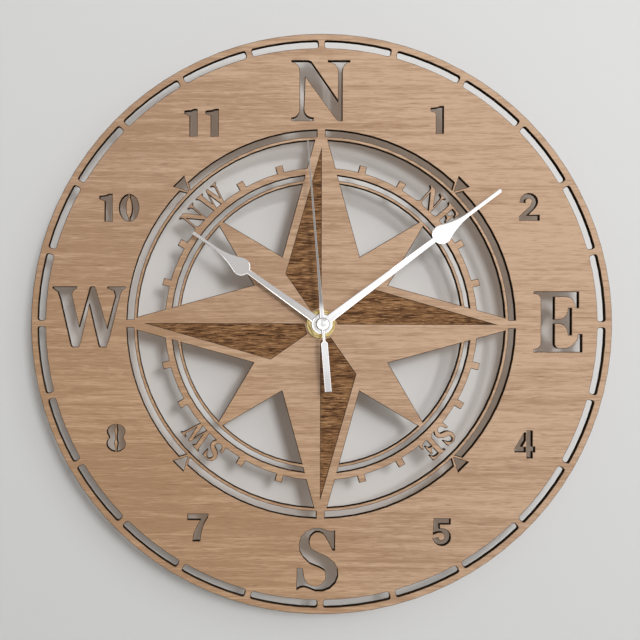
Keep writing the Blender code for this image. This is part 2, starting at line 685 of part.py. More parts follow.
def chord_half_angle(half_width, radius):
    """Half the angle that a parallel-sided bridge spans at a radius."""
    return math.degrees(math.asin(half_width / radius))


# Dial outlines
def main_edge(radius):
    """Angle at which the edge of a main star point crosses a radius."""
    start = NOTCH_POINT
    half_neck = POINT_NECK / 2
    end = (half_neck, math.sqrt(GAP_OUTER ** 2 - half_neck ** 2))
    run = (end[0] - start[0], end[1] - start[1])
    a = run[0] ** 2 + run[1] ** 2
    b = 2 * (start[0] * run[0] + start[1] * run[1])
    c = NOTCH_RADIUS ** 2 - radius ** 2
    t = (-b + math.sqrt(b * b - 4 * a * c)) / (2 * a)
    return clock_angle_of((start[0] + t * run[0], start[1] + t * run[1]))


def stepped_toward(here, there, distance):
    """The point at a distance from one point towards another."""
    share = distance / math.dist(here, there)
    return (here[0] + (there[0] - here[0]) * share, here[1] + (there[1] - here[1]) * share)


def rounded_corner(before, here, after, radius):
    """The points of a rounded corner between two sides."""
    start = stepped_toward(here, before, radius)
    end = stepped_toward(here, after, radius)
    points = []
    for i in range(CORNER_POINTS):
        t = i / (CORNER_POINTS - 1)
        shares = ((1 - t) ** 2, 2 * t * (1 - t), t ** 2)
        points.append(tuple(sum(k * p for k, p in zip(shares, row)) for row in zip(start, here, end)))
    return points


def rim_slot_loops():
    """The slots just inside the rim, with rounded corners."""
    pitch = 360 / RIM_SLOTS
    outer_half = chord_half_angle(RIM_BRIDGE / 2, RIM_SLOT_OUTER)
    inner_half = chord_half_angle(RIM_BRIDGE / 2, RIM_SLOT_INNER)
    loops = []
    for i in range(RIM_SLOTS):
        start = i * pitch
        end = start + pitch
        outer = arc(RIM_SLOT_OUTER, start + outer_half, end - outer_half)
        inner = arc(RIM_SLOT_INNER, end - inner_half, start + inner_half)
        loop = rounded_corner(inner[-1], outer[0], outer[1], RIM_SLOT_CORNER) + outer[1:-1]
        loop += rounded_corner(outer[-2], outer[-1], inner[0], RIM_SLOT_CORNER)
        loop += rounded_corner(outer[-1], inner[0], inner[1], RIM_SLOT_CORNER) + inner[1:-1]
        loops.append(loop + rounded_corner(inner[-2], inner[-1], outer[0], RIM_SLOT_CORNER))
    return loops


def marker_half_width(radius):
    """Half width of a diagonal marker's wedge at a radius."""
    apex = GROOVE_INNER + MARKER_REACH
    return MARKER_WIDTH / 2 * (radius - apex) / MARKER_LENGTH


def groove_loops():
    """The eight grooves between the main points and the diagonal markers."""
    slope = math.atan2(MARKER_WIDTH / 2, MARKER_LENGTH)
    web = MARKER_WEB / math.cos(slope)
    outer_start = chord_half_angle(GROOVE_BRIDGE / 2, GROOVE_OUTER)
    inner_start = chord_half_angle(GROOVE_BRIDGE / 2, GROOVE_INNER)
    outer_end = chord_half_angle(marker_half_width(GROOVE_OUTER) + web, GROOVE_OUTER)
    inner_end = chord_half_angle(marker_half_width(GROOVE_INNER) + web, GROOVE_INNER)
    half = arc(GROOVE_OUTER, outer_start, DIAGONALS[0] - outer_end)
    half += arc(GROOVE_INNER, DIAGONALS[0] - inner_end, inner_start)
    loops = []
    for quarter in QUARTERS:
        loops.append([turned_point(p, quarter) for p in half])
        loops.append([turned_point(p, quarter) for p in mirrored(half)])
    return loops


def marker_loops():
    """The four wedges on the diagonals."""
    apex = GROOVE_INNER + MARKER_REACH
    wedge = [(0, apex), (MARKER_WIDTH / 2, apex + MARKER_LENGTH), (-MARKER_WIDTH / 2, apex + MARKER_LENGTH)]
    return [[turned_point(p, diagonal) for p in wedge] for diagonal in DIAGONALS]


def tooth_points(clock_angle):
    """The two upper corners of a tooth on the tooth ring, met anticlockwise."""
    top = GAP_INNER + TOOTH_HEIGHT
    corners = [(TOOTH_WIDTH / 2, top), (-TOOTH_WIDTH / 2, top)]
    return [turned_point(p, clock_angle) for p in corners]


def gap_loops():
    """The four wide gaps with the teeth standing in them."""
    start = main_edge(GAP_OUTER)
    low_start = main_edge(GAP_INNER)
    tooth_half = chord_half_angle(TOOTH_WIDTH / 2, GAP_INNER)
    loop = arc(GAP_OUTER, start, QUARTERS[1] - start)
    place = QUARTERS[1] - low_start
    for angle in reversed(TOOTH_ANGLES):
        loop += arc(GAP_INNER, place, angle + tooth_half)
        loop += tooth_points(angle)
        place = angle - tooth_half
    loop += arc(GAP_INNER, place, low_start)
    return [[turned_point(p, quarter) for p in loop] for quarter in QUARTERS]


def inner_slot_loops():
    """The four narrow slots inside the tooth ring."""
    outer = main_edge(INNER_SLOT_OUTER)
    inner = main_edge(INNER_SLOT_INNER)
    loop = arc(INNER_SLOT_OUTER, outer, QUARTERS[1] - outer)
    loop += arc(INNER_SLOT_INNER, QUARTERS[1] - inner, inner)
    return [[turned_point(p, quarter) for p in loop] for quarter in QUARTERS]


def star_hole_loops():
    """The eight openings between the points of the star."""
    end = DIAGONALS[0] - chord_half_angle(MINOR_NECK / 2, STAR_RADIUS)
    half = [NOTCH_POINT] + arc(STAR_RADIUS, main_edge(STAR_RADIUS), end)
    loops = []
    for quarter in QUARTERS:
        loops.append([turned_point(p, quarter) for p in half])
        loops.append([turned_point(p, quarter) for p in mirrored(half)])
    return loops


def kite_loops():
    """The engraved half of each main star point."""
    turn = math.atan2(KITE_SIDE, KITE_SHOULDER)
    foot = (-KITE_FOOT_RADIUS * math.sin(turn), KITE_FOOT_RADIUS * math.cos(turn))
    kite = [(0, KITE_TIP_RADIUS), (0, KITE_FOOT_RADIUS), foot, (-KITE_SIDE, KITE_SHOULDER)]
    return [[turned_point(p, quarter) for p in kite] for quarter in QUARTERS]


def glyph_loops(character, height, step=GLYPH_ARC_STEP):
    """The outlines of one character, its lower left at the origin."""
    loops = []
    for outline in GLYPH_SHARES[character]:
        loop = []
        for item in outline:
            if len(item) == len(CENTRE):
                loop.append((item[0] * height, item[1] * height))
                continue
            x, y, rx, ry, start, end = item
            loop += ellipse_arc((x * height, y * height), (rx * height, ry * height), start, end, step)
        loops.append(loop)
    return loops


def width_of(loops):
    """The width that some outlines reach from the origin."""
    return max(x for loop in loops for x, _ in loop)


def text_loops(text, height):
    """The outlines of some characters in a row, centred on the origin."""
    row = []
    place = 0
    space = DIGIT_SPACE_SHARES.get(text, 0) * height
    for character in text:
        loops = glyph_loops(character, height)
        row += [[(x + place, y) for x, y in loop] for loop in loops]
        place += width_of(loops) + space
    middle = width_of(row) / 2
    return [[(x - middle, y - height / 2) for x, y in loop] for loop in row]


def placed_text(text, height, clock_angle, shift):
    """Upright characters in the middle of the dial's band, moved by shares of their height."""
    x, y = polar(BAND_MIDDLE, clock_angle)
    x += shift[0] * height
    y += shift[1] * height
    return [[(px + x, py + y) for px, py in loop] for loop in text_loops(text, height)]


def character_loops():
    """All numerals and compass letters that are cut through the band."""
    loops = []
    for text, angle, shift in NUMERAL_SHARES:
        loops += placed_text(text, NUMERAL_HEIGHT, angle, shift)
    for text, angle, shift in LETTER_SHARES:
        loops += placed_text(text, LETTER_HEIGHT, angle, shift)
    return loops


def swollen(loop, distance):
    """A loop with each of its sides moved outwards."""
    area = sum(a[0] * b[1] - b[0] * a[1] for a, b in zip(loop, loop[1:] + loop[:1]))
    side = math.copysign(distance, area)
    made = []
    for before, here, after in zip(loop[-1:] + loop[:-1], loop, loop[1:] + loop[:1]):
        first = math.atan2(here[1] - before[1], here[0] - before[0])
        second = math.atan2(after[1] - here[1], after[0] - here[0])
        bend = (math.sin(first) + math.sin(second), -math.cos(first) - math.cos(second))
        scale = side * 2 / max(bend[0] ** 2 + bend[1] ** 2, 1)
        made.append((here[0] + bend[0] * scale, here[1] + bend[1] * scale))
    return made


def standing_letter_loops():
    """The small letter pairs that stand on the tooth ring, each letter square to its own radius."""
    loops = []
    for pair, diagonal in zip(SMALL_PAIRS, DIAGONALS):
        outlines = [glyph_loops(character, SMALL_LETTER_HEIGHT, SMALL_ARC_STEP)[0] for character in pair]
        letters = [swollen(outline, SMALL_LETTER_WEIGHT) for outline in outlines]
        widths = [width_of([letter]) for letter in letters]
        total = sum(widths) + SMALL_LETTER_SPACE
        place = -total / 2
        for letter, width in zip(letters, widths):
            turn = diagonal + math.degrees((place + width / 2) / GAP_INNER)
            foot = GAP_INNER - SMALL_LETTER_SINK
            loops.append([turned_point((x - width / 2, y + foot), turn) for x, y in letter])
            place += width + SMALL_LETTER_SPACE
    return loops


def make_dial():
    """The pierced and engraved board."""
    mesh = flat_mesh("dial", [arc(DIAL_RADIUS, 0, 360)[:-1]], DIAL_THICKNESS)
    dial = add_piece("dial", mesh, frame, finishes["oak"], DIAL_BACK)
    through = DIAL_THICKNESS + 2 * OVERRUN
    low = DIAL_BACK - OVERRUN
    loops = rim_slot_loops() + groove_loops() + marker_loops() + gap_loops() + inner_slot_loops()
    loops += star_hole_loops() + character_loops()
    loops.append(circle(BUSH_RADIUS + SEAT_GAP))
    openings = cut(dial, "dial_openings", flat_mesh("dial_openings", loops, through), level=low)
    letters = flat_mesh("dial_letters", standing_letter_loops(), through + 2 * OVERRUN)
    combine(openings, add_helper("dial_letters", letters, dial, level=low - OVERRUN), "DIFFERENCE")
    recess = flat_mesh("dial_recess", kite_loops(), KITE_DEPTH + OVERRUN)
    cut(dial, "dial_recess", recess, level=DIAL_BACK + DIAL_THICKNESS - KITE_DEPTH)


# Gears
def gear_loop(module, teeth, root_share, first_tooth):
    """The outline of a gear with straight-sided teeth, one of them at a direction in degrees."""
    pitch = math.tau / teeth
    radius = module * teeth / 2
    root = radius - DEDENDUM_SHARE * module
    tip = radius + ADDENDUM_SHARE * module
    flank = ((root, -root_share / 2), (tip, -TOOTH_TIP_SHARE / 2), (tip, TOOTH_TIP_SHARE / 2),
             (root, root_share / 2))
    loop = []
    for i in range(teeth):
        middle = math.radians(first_tooth) + i * pitch
        for reach, share in flank:
            angle = middle + share * pitch
            loop.append((reach * math.cos(angle), reach * math.sin(angle)))
    return loop


def module_of(distance, first_teeth, second_teeth):
    """The module that two gears need at a distance."""
    return 2 * distance / (first_teeth + second_teeth)


def pinion_loop(distance, teeth, other_teeth, first_tooth):
    """A pinion's outline."""
    return gear_loop(module_of(distance, teeth, other_teeth), teeth, PINION_ROOT_SHARE, first_tooth)


def wheel_loop(distance, teeth, other_teeth, first_tooth):
    """A wheel's outline."""
    return gear_loop(module_of(distance, teeth, other_teeth), teeth, WHEEL_ROOT_SHARE, first_tooth)


def gap_at(direction, teeth):
    """The direction of a tooth next to a gap that opens in a given direction."""
    return direction + 180 / teeth


def meshing_tooth(first_tooth, teeth, direction, other_teeth):
    """The direction of a tooth on a gear that turns beside another whose teeth are already placed."""
    past_tooth = (direction - first_tooth) % (360 / teeth)
    return gap_at(direction + 180 + past_tooth * teeth / other_teeth, other_teeth)


def add_gear(name, loops, level, parent, finish, thickness=WHEEL_THICKNESS):
    """A gear cut from its outline."""
    return add_piece(name, flat_mesh(name, loops, thickness), parent, finish, level)


def join_pinion(gear, name, loops, back, front):
    """Joins a pinion to a wheel between two levels."""
    join(gear, name, flat_mesh(name, loops, front - back), level=back)


def make_rotor():
    """The rotor's moulding and its magnet."""
    toward = ROTOR_DIRECTION + 180
    loop = pinion_loop(ROTOR_DISTANCE, ROTOR_TEETH, INTERMEDIATE_TEETH, toward)
    back = layer_back(INTERMEDIATE_LAYER) - PINION_PROUD
    front = layer_front(INTERMEDIATE_LAYER) + PINION_PROUD
    rotor = add_gear("rotor_pinion", [loop], back, rotor_axis, finishes["natural"], front - back)
    arbor = rod_mesh("rotor_arbor", [CENTRE], PIVOT_RADIUS, PIVOT_BACK, PIVOT_FRONT, PIN_STEPS)
    join(rotor, "rotor_arbor", arbor)
    add_ring("rotor_magnet", MAGNET_RADIUS, PIVOT_RADIUS + PRESS_GAP, MAGNET_BACK,
             MAGNET_BACK + MAGNET_LENGTH, rotor_axis, finishes["magnet"], HIDDEN_STEPS)


def make_intermediate_wheel():
    """The wheel between the rotor and the seconds wheel."""
    loop = wheel_loop(ROTOR_DISTANCE, INTERMEDIATE_TEETH, ROTOR_TEETH,
                      gap_at(ROTOR_DIRECTION, INTERMEDIATE_TEETH))
    back = layer_back(INTERMEDIATE_LAYER)
    wheel = add_gear("intermediate_wheel", [loop], back, intermediate_axis, finishes["natural"])
    pinion = pinion_loop(INTERMEDIATE_DISTANCE, INTERMEDIATE_PINION_TEETH, SECONDS_TEETH,
                         INTERMEDIATE_DIRECTION + 180)
    join_pinion(wheel, "intermediate_pinion", [pinion], back + WHEEL_THICKNESS / 2,
                layer_front(SECONDS_LAYER) + PINION_PROUD)
    arbor = rod_mesh("intermediate_arbor", [CENTRE], PIVOT_RADIUS, PIVOT_BACK, PIVOT_FRONT, PIN_STEPS)
    join(wheel, "intermediate_arbor", arbor)


def make_seconds_wheel():
    """The wheel that turns once a minute, and its steel arbor."""
    wheel_teeth = wheel_loop(INTERMEDIATE_DISTANCE, SECONDS_TEETH, INTERMEDIATE_PINION_TEETH,
                             gap_at(INTERMEDIATE_DIRECTION + SECOND_ANGLE, SECONDS_TEETH))
    back = layer_back(SECONDS_LAYER)
    wheel = add_gear("seconds_wheel", [wheel_teeth], back, second_axis, finishes["natural"])
    pinion = pinion_loop(THIRD_DISTANCE, SECONDS_PINION_TEETH, THIRD_TEETH, THIRD_DIRECTION + SECOND_ANGLE)
    join_pinion(wheel, "seconds_pinion", [pinion], back + WHEEL_THICKNESS / 2,
                layer_front(THIRD_LAYER) + PINION_PROUD)
    bore = rod_mesh("seconds_bore", [CENTRE], SECONDS_ARBOR_RADIUS + PRESS_GAP, BRIDGE_FRONT,
                    FACE_INSIDE, PIN_STEPS)
    cut(wheel, "seconds_bore", bore)
    arbor = rod_mesh("seconds_arbor", [CENTRE], SECONDS_ARBOR_RADIUS, PIVOT_BACK, SECONDS_ARBOR_FRONT,
                     PIN_STEPS)
    add_piece("seconds_arbor", arbor, second_axis, finishes["steel"])


def make_third_wheel():
    """The wheel between the seconds wheel and the centre gear."""
    teeth = wheel_loop(THIRD_DISTANCE, THIRD_TEETH, SECONDS_PINION_TEETH,
                       gap_at(THIRD_DIRECTION + 180, THIRD_TEETH))
    wheel = add_gear("third_wheel", [teeth], layer_back(THIRD_LAYER), third_axis, finishes["natural"])
    pinion = pinion_loop(THIRD_DISTANCE, THIRD_PINION_TEETH, CENTRE_TEETH, THIRD_DIRECTION + 180)
    join_pinion(wheel, "third_pinion", [pinion], layer_back(THIRD_LAYER) + WHEEL_THICKNESS / 2,
                layer_front(CENTRE_LAYER) + PINION_PROUD)
    arbor = rod_mesh("third_arbor", [CENTRE], PIVOT_RADIUS, PIVOT_BACK, PIVOT_FRONT, PIN_STEPS)
    join(wheel, "third_arbor", arbor)


def make_centre_gear():
    """The gear that turns once an hour and grips the minute pipe by friction."""
    first_tooth = gap_at(THIRD_DIRECTION, CENTRE_TEETH)
    teeth = wheel_loop(THIRD_DISTANCE, CENTRE_TEETH, THIRD_PINION_TEETH, first_tooth)
    bore = circle(MINUTE_PIPE_RADIUS + RUNNING_CLEARANCE)
    add_gear("centre_gear", [teeth, bore], layer_back(CENTRE_LAYER), centre_axis, finishes["natural"])


def make_minute_pipe():
    """The pipe that carries the minute hand, with the cannon pinion moulded on it."""
    bore = SECONDS_ARBOR_RADIUS + RUNNING_CLEARANCE
    back = layer_back(CENTRE_LAYER) - PIVOT_SHAKE
    pipe = add_ring("minute_pipe", MINUTE_PIPE_RADIUS, bore, back, MINUTE_PIPE_FRONT, minute_axis,
                    finishes["steel"], HIDDEN_STEPS)
    teeth = pinion_loop(MOTION_DISTANCE, CANNON_TEETH, MOTION_TEETH, MOTION_DIRECTION + MINUTE_ANGLE)
    hole = circle((bore + MINUTE_PIPE_RADIUS) / 2)
    join_pinion(pipe, "cannon_pinion", [teeth, hole], layer_back(MOTION_LAYER) - PINION_PROUD,
                layer_front(MOTION_LAYER) + PINION_PROUD)


def make_motion_wheel():
    """The wheel that steps the minute pipe down to the hour wheel."""
    first_tooth = gap_at(MOTION_DIRECTION + 180, MOTION_TEETH)
    teeth = wheel_loop(MOTION_DISTANCE, MOTION_TEETH, CANNON_TEETH, first_tooth)
    wheel = add_gear("motion_wheel", [teeth], layer_back(MOTION_LAYER), motion_axis, finishes["natural"])
    pinion = pinion_loop(MOTION_DISTANCE, MOTION_PINION_TEETH, HOUR_TEETH, MOTION_DIRECTION + 180)
    join_pinion(wheel, "motion_pinion", [pinion], layer_back(MOTION_LAYER) + WHEEL_THICKNESS / 2,
                layer_front(HOUR_LAYER) + PINION_PROUD)
    bore = rod_mesh("motion_bore", [CENTRE], MOTION_POST_RADIUS + RUNNING_CLEARANCE,
                    layer_back(CENTRE_LAYER), FACE_INSIDE, PIN_STEPS)
    cut(wheel, "motion_bore", bore)


def make_hour_wheel():
    """The wheel that turns twice a day, with the pipe that carries the hour hand."""
    bore = MINUTE_PIPE_RADIUS + RUNNING_CLEARANCE
    back = layer_back(HOUR_LAYER) - PINION_PROUD
    pipe = add_ring("hour_wheel", HOUR_PIPE_RADIUS, bore, back, HOUR_PIPE_FRONT, hour_axis,
                    finishes["natural"], HIDDEN_STEPS)
    teeth = wheel_loop(MOTION_DISTANCE, HOUR_TEETH, MOTION_PINION_TEETH,
                       gap_at(MOTION_DIRECTION + HOUR_ANGLE, HOUR_TEETH))
    hole = circle((bore + HOUR_PIPE_RADIUS) / 2)
    join_pinion(pipe, "hour_teeth", [teeth, hole], layer_back(HOUR_LAYER), layer_front(HOUR_LAYER))


def make_setting_knob():
    """The knob at the rear that sets the hands, with its stem and pinion."""
    loop = []
    for i in range(KNOB_NOTCHES * KNOB_NOTCH_STEPS):
        depth = KNOB_NOTCH_DEPTH * (1 - math.cos(math.tau * i / KNOB_NOTCH_STEPS)) / 2
        loop.append(polar(KNOB_RADIUS - depth, 360 * i / (KNOB_NOTCHES * KNOB_NOTCH_STEPS)))
    front = KNOB_SINK + KNOB_THICKNESS
    mesh = flat_mesh("setting_knob", [loop], KNOB_THICKNESS)
    knob = add_piece("setting_knob", mesh, knob_axis, finishes["black"], KNOB_SINK)
    gear_back = layer_back(MOTION_LAYER)
    gear_front = layer_front(MOTION_LAYER)
    stem = rod_mesh("knob_stem", [CENTRE], KNOB_STEM_RADIUS, front - KNOB_THICKNESS / 2, gear_back, PIN_STEPS)
    join(knob, "knob_stem", stem)
    motion_tooth = gap_at(MOTION_DIRECTION + 180, MOTION_TEETH)
    first_tooth = meshing_tooth(motion_tooth, MOTION_TEETH, KNOB_DIRECTION, KNOB_TEETH)
    teeth = pinion_loop(MOTION_DISTANCE, KNOB_TEETH, MOTION_TEETH, first_tooth)
    join_pinion(knob, "knob_pinion", [teeth], gear_back - PINION_PROUD, gear_front + PINION_PROUD)
    pivot = rod_mesh("knob_pivot", [CENTRE], PIVOT_RADIUS, gear_back, PIVOT_FRONT, PIN_STEPS)
    join(knob, "knob_pivot", pivot)


# Movement housing
def arbor_places():
    """The arbors whose front pivots turn in bosses of the case."""
    return [INTERMEDIATE_PLACE, ROTOR_PLACE, THIRD_PLACE, KNOB_PLACE]


def post_places():
    """The posts that carry the train bridge."""
    return [(x, y) for x in (-POST_X, POST_X) for y in (UPPER_POST_Y, LOWER_POST_Y)]


def stator_post_places():
    """The posts that carry the stator."""
    y = STATOR_BOTTOM + POST_RADIUS
    return [(STATOR_LEFT + POST_RADIUS + SEAT_GAP, y), (STATOR_RIGHT - POST_RADIUS - SEAT_GAP, y)]


def board_post_places():
    """The posts that carry the circuit board."""
    x = (BOARD_LEFT + BOARD_RIGHT) / 2
    return [(x, BOARD_BOTTOM + POST_RADIUS), (x, BOARD_TOP - POST_RADIUS)]


def case_loop(inset):
    """The movement's outline, set in by a distance."""
    right = CASE_WIDTH / 2 - inset
    top = CASE_HEIGHT / 2 - inset
    corner = max(CASE_CORNER - inset, CASE_CORNER / 4)
    return rounded_box(-right, -top, right, top, corner)


def make_case_front():
    """The tray that holds the works, with its bosses and posts."""
    mesh = flat_mesh("case_front", [case_loop(0)], CASE_DEPTH - CASE_BACK)
    case = add_piece("case_front", mesh, frame, finishes["black"], CASE_BACK)
    depth = FACE_INSIDE - CASE_BACK + OVERRUN
    cavity = flat_mesh("case_cavity", [case_loop(CASE_WALL)], depth)
    cut(case, "case_cavity", cavity, level=CASE_BACK - OVERRUN)
    root = FACE_INSIDE + CASE_FACE / 2
    bosses = rod_mesh("case_bosses", arbor_places(), BOSS_RADIUS, FACE_INSIDE - BOSS_HEIGHT, root, PIN_STEPS)
    join(case, "case_bosses", bosses)
    posts = rod_mesh("case_posts", post_places(), POST_RADIUS, BRIDGE_FRONT + SEAT_GAP, root, PIN_STEPS)
    join(case, "case_posts", posts)
    props = rod_mesh("stator_posts", stator_post_places(), POST_RADIUS, STATOR_FRONT + SEAT_GAP, root,
                     PIN_STEPS)
    join(case, "stator_posts", props)
    board_front = BOARD_LEVEL + BOARD_THICKNESS + SEAT_GAP
    stands = rod_mesh("board_posts", board_post_places(), POST_RADIUS, board_front, root, PIN_STEPS)
    join(case, "board_posts", stands)
    post_back = layer_back(MOTION_LAYER) - MOTION_POST_PROUD
    post = rod_mesh("motion_post", [MOTION_PLACE], MOTION_POST_RADIUS, post_back, root, PIN_STEPS)
    join(case, "motion_post", post)
    hole = PIVOT_RADIUS + RUNNING_CLEARANCE
    holes = rod_mesh("case_pivot_holes", arbor_places(), hole, FACE_INSIDE - BOSS_HEIGHT - OVERRUN,
                     PIVOT_FRONT + SEAT_GAP, PIN_STEPS)
    cut(case, "case_pivot_holes", holes)
    bush_hole = rod_mesh("case_bush_hole", [CENTRE], BUSH_RADIUS + SEAT_GAP, FACE_INSIDE - OVERRUN,
                         CASE_DEPTH + OVERRUN, ROUND_STEPS)
    cut(case, "case_bush_hole", bush_hole)


def make_case_rear():
    """The rear cover with the battery opening, the bay's inner wall and the hole for the knob."""
    half_opening = CELL_DIAMETER / 2 + SEAT_GAP
    low = CELL_Y - half_opening
    high = CELL_Y + half_opening
    opening = [(-CONTACT_FACE, low), (CONTACT_FACE, low), (CONTACT_FACE, high), (-CONTACT_FACE, high)]
    knob_hole = circle(KNOB_RADIUS + SEAT_GAP, KNOB_PLACE)
    mesh = flat_mesh("case_rear", [case_loop(0), opening, knob_hole], COVER_THICKNESS)
    cover = add_piece("case_rear", mesh, frame, finishes["black"])
    side = INNER_HALF_WIDTH - BAY_WALL_NOTCH
    wall = box_mesh("bay_wall", (-side, BAY_WALL_LOW, COVER_THICKNESS / 2),
                    (side, BAY_WALL_HIGH, FACE_INSIDE - SEAT_GAP))
    join(cover, "bay_wall", wall)


def make_train_bridge():
    """The plate that carries the rear pivots."""
    side = INNER_HALF_WIDTH - BRIDGE_MARGIN
    low = BAY_WALL_HIGH + BRIDGE_MARGIN
    high = INNER_HALF_HEIGHT - BRIDGE_MARGIN
    loops = [rounded_box(-side, low, side, high, CASE_CORNER / 2)]
    loops.append(circle(KNOB_STEM_RADIUS + RUNNING_CLEARANCE, KNOB_PLACE, PIN_STEPS))
    loops.append(circle(SECONDS_ARBOR_RADIUS + RUNNING_CLEARANCE, CENTRE, PIN_STEPS))
    for place in (INTERMEDIATE_PLACE, ROTOR_PLACE, THIRD_PLACE):
        loops.append(circle(PIVOT_RADIUS + RUNNING_CLEARANCE, place, PIN_STEPS))
    mesh = flat_mesh("train_bridge", loops, BRIDGE_THICKNESS)
    add_piece("train_bridge", mesh, frame, finishes["natural"], BRIDGE_BACK)


def make_cell():
    """The battery, lying in its bay."""
    radius = CELL_DIAMETER / 2
    nub = CELL_NUB_DIAMETER / 2
    shoulder = CELL_LENGTH - CELL_NUB_LENGTH
    profile = [(0, CELL_LENGTH), (nub, CELL_LENGTH), (nub, shoulder), (radius - CELL_EDGE, shoulder),
               (radius, shoulder - CELL_EDGE), (radius, CELL_EDGE), (radius - CELL_EDGE, 0), (0, 0)]
    cell = add_turned("battery_cell", profile, cell_axis, finishes["cell"], ROUND_STEPS, closed=False)
    cell.location = (CELL_TIP - CELL_LENGTH, 0, CELL_LEVEL)
    cell.rotation_euler = (0, math.radians(90), 0)


def make_contact(name, side):
    """A battery contact: the plate at the cell's end and the strip that rises past the bay wall."""
    inner = side * CONTACT_FACE
    outer = side * (CONTACT_FACE + CONTACT_THICKNESS)
    left, right = min(inner, outer), max(inner, outer)
    half = CONTACT_WIDTH / 2
    low = CELL_LEVEL - half
    high = CELL_LEVEL + half
    plate = box_mesh(name, (left, CELL_Y - half, low), (right, CELL_Y + half, high))
    contact = add_piece(name, plate, frame, finishes["plated"])
    riser = box_mesh(name + "_riser", (left, CELL_Y, CELL_LEVEL - RISER_WIDTH / 2),
                     (right, RISER_TOP, CELL_LEVEL + RISER_WIDTH / 2))
    join(contact, name + "_riser", riser)
    return contact


def make_contacts():
    """The two battery contacts, the negative one with a bulge that meets the cell."""
    make_contact("battery_contact_positive", 1)
    negative = make_contact("battery_contact_negative", -1)
    base = -CONTACT_FACE - CONTACT_THICKNESS / 2
    work = bmesh.new()
    place = Matrix.Translation((base + (CONTACT_BULGE + CONTACT_THICKNESS / 2) / 2, CELL_Y, CELL_LEVEL))
    bmesh.ops.create_cone(work, cap_ends=True, segments=PIN_STEPS, radius1=CONTACT_BULGE_RADIUS,
                          radius2=CONTACT_BULGE_RADIUS / 2, depth=CONTACT_BULGE + CONTACT_THICKNESS / 2,
                          matrix=place @ Matrix.Rotation(math.radians(90), 4, "Y"))
    mesh = bpy.data.meshes.new("contact_bulge")
    work.to_mesh(mesh)
    work.free()
    join(negative, "contact_bulge", mesh)


# Motor and circuit
def make_stator():
    """The stator plate with its hole for the rotor."""
    left, right, arm = STATOR_LEFT, STATOR_RIGHT, STATOR_ARM_WIDTH
    lobe_right = ROTOR_PLACE[0] + STATOR_LOBE
    lobe_bottom = ROTOR_PLACE[1] - STATOR_LOBE
    outline = [(left, lobe_bottom), (lobe_right, lobe_bottom), (lobe_right, STATOR_BOTTOM),
               (right, STATOR_BOTTOM), (right, STATOR_TOP), (right - arm, STATOR_TOP),
               (right - arm, STATOR_BAR_TOP), (left + arm, STATOR_BAR_TOP), (left + arm, STATOR_TOP),
               (left, STATOR_TOP)]
    hole = circle(MAGNET_RADIUS + AIR_GAP, ROTOR_PLACE)
    mesh = flat_mesh("stator", [outline, hole], STATOR_THICKNESS)
    add_piece("stator", mesh, frame, finishes["steel"], STATOR_BACK)


def make_coil():
    """The coil's core, its bobbin and the winding."""
    half_width = CORE_WIDTH / 2
    half_depth = CORE_THICKNESS / 2
    core = box_mesh("coil_core", (STATOR_LEFT, COIL_Y - half_width, COIL_LEVEL - half_depth),
                    (STATOR_RIGHT, COIL_Y + half_width, COIL_LEVEL + half_depth))
    add_piece("coil_core", core, frame, finishes["steel"])
    length = COIL_RIGHT - COIL_LEFT
    near, far = FLANGE_THICKNESS, length - FLANGE_THICKNESS
    profile = [(0, length), (FLANGE_RADIUS, length), (FLANGE_RADIUS, far), (SPOOL_RADIUS, far),
               (SPOOL_RADIUS, near), (FLANGE_RADIUS, near), (FLANGE_RADIUS, 0), (0, 0)]
    bobbin = add_turned("coil_bobbin", profile, frame, finishes["natural"], HIDDEN_STEPS, closed=False)
    bobbin.location = (COIL_LEFT, COIL_Y, COIL_LEVEL)
    bobbin.rotation_euler = (0, math.radians(90), 0)
    half_width += SEAT_GAP
    half_depth += SEAT_GAP
    slot = box_mesh("bobbin_slot", (COIL_LEFT - OVERRUN, COIL_Y - half_width, COIL_LEVEL - half_depth),
                    (COIL_RIGHT + OVERRUN, COIL_Y + half_width, COIL_LEVEL + half_depth))
    cut(bobbin, "bobbin_slot", slot)
    winding = add_ring("coil_winding", COIL_RADIUS, SPOOL_RADIUS + PRESS_GAP, PRESS_GAP,
                       far - near - PRESS_GAP, frame, finishes["copper"], HIDDEN_STEPS)
    winding.location = (COIL_LEFT + near, COIL_Y, COIL_LEVEL)
    winding.rotation_euler = (0, math.radians(90), 0)


def make_board():
    """The circuit board with its crystal and chip on the rear face."""
    board = box_mesh("circuit_board", (BOARD_LEFT, BOARD_BOTTOM, 0),
                     (BOARD_RIGHT, BOARD_TOP, BOARD_THICKNESS))
    add_piece("circuit_board", board, frame, finishes["board"], BOARD_LEVEL)
    width = BOARD_RIGHT - BOARD_LEFT
    y = (BOARD_BOTTOM + BOARD_TOP) / 2
    crystal = rod_mesh("quartz_crystal", [CENTRE], CRYSTAL_RADIUS, -CRYSTAL_LENGTH / 2, CRYSTAL_LENGTH / 2,
                       PIN_STEPS)
    can = add_piece("quartz_crystal", crystal, frame, finishes["plated"])
    can.location = (BOARD_LEFT + CRYSTAL_PLACE_SHARE * width, y, BOARD_LEVEL - SEAT_GAP - CRYSTAL_RADIUS)
    can.rotation_euler = (math.radians(90), 0, 0)
    x = BOARD_LEFT + CHIP_PLACE_SHARE * width
    half = CHIP_SIDE / 2
    front = BOARD_LEVEL - SEAT_GAP
    chip = box_mesh("chip", (x - half, y - half, front - CHIP_HEIGHT), (x + half, y + half, front))
    add_piece("chip", chip, frame, finishes["black"])


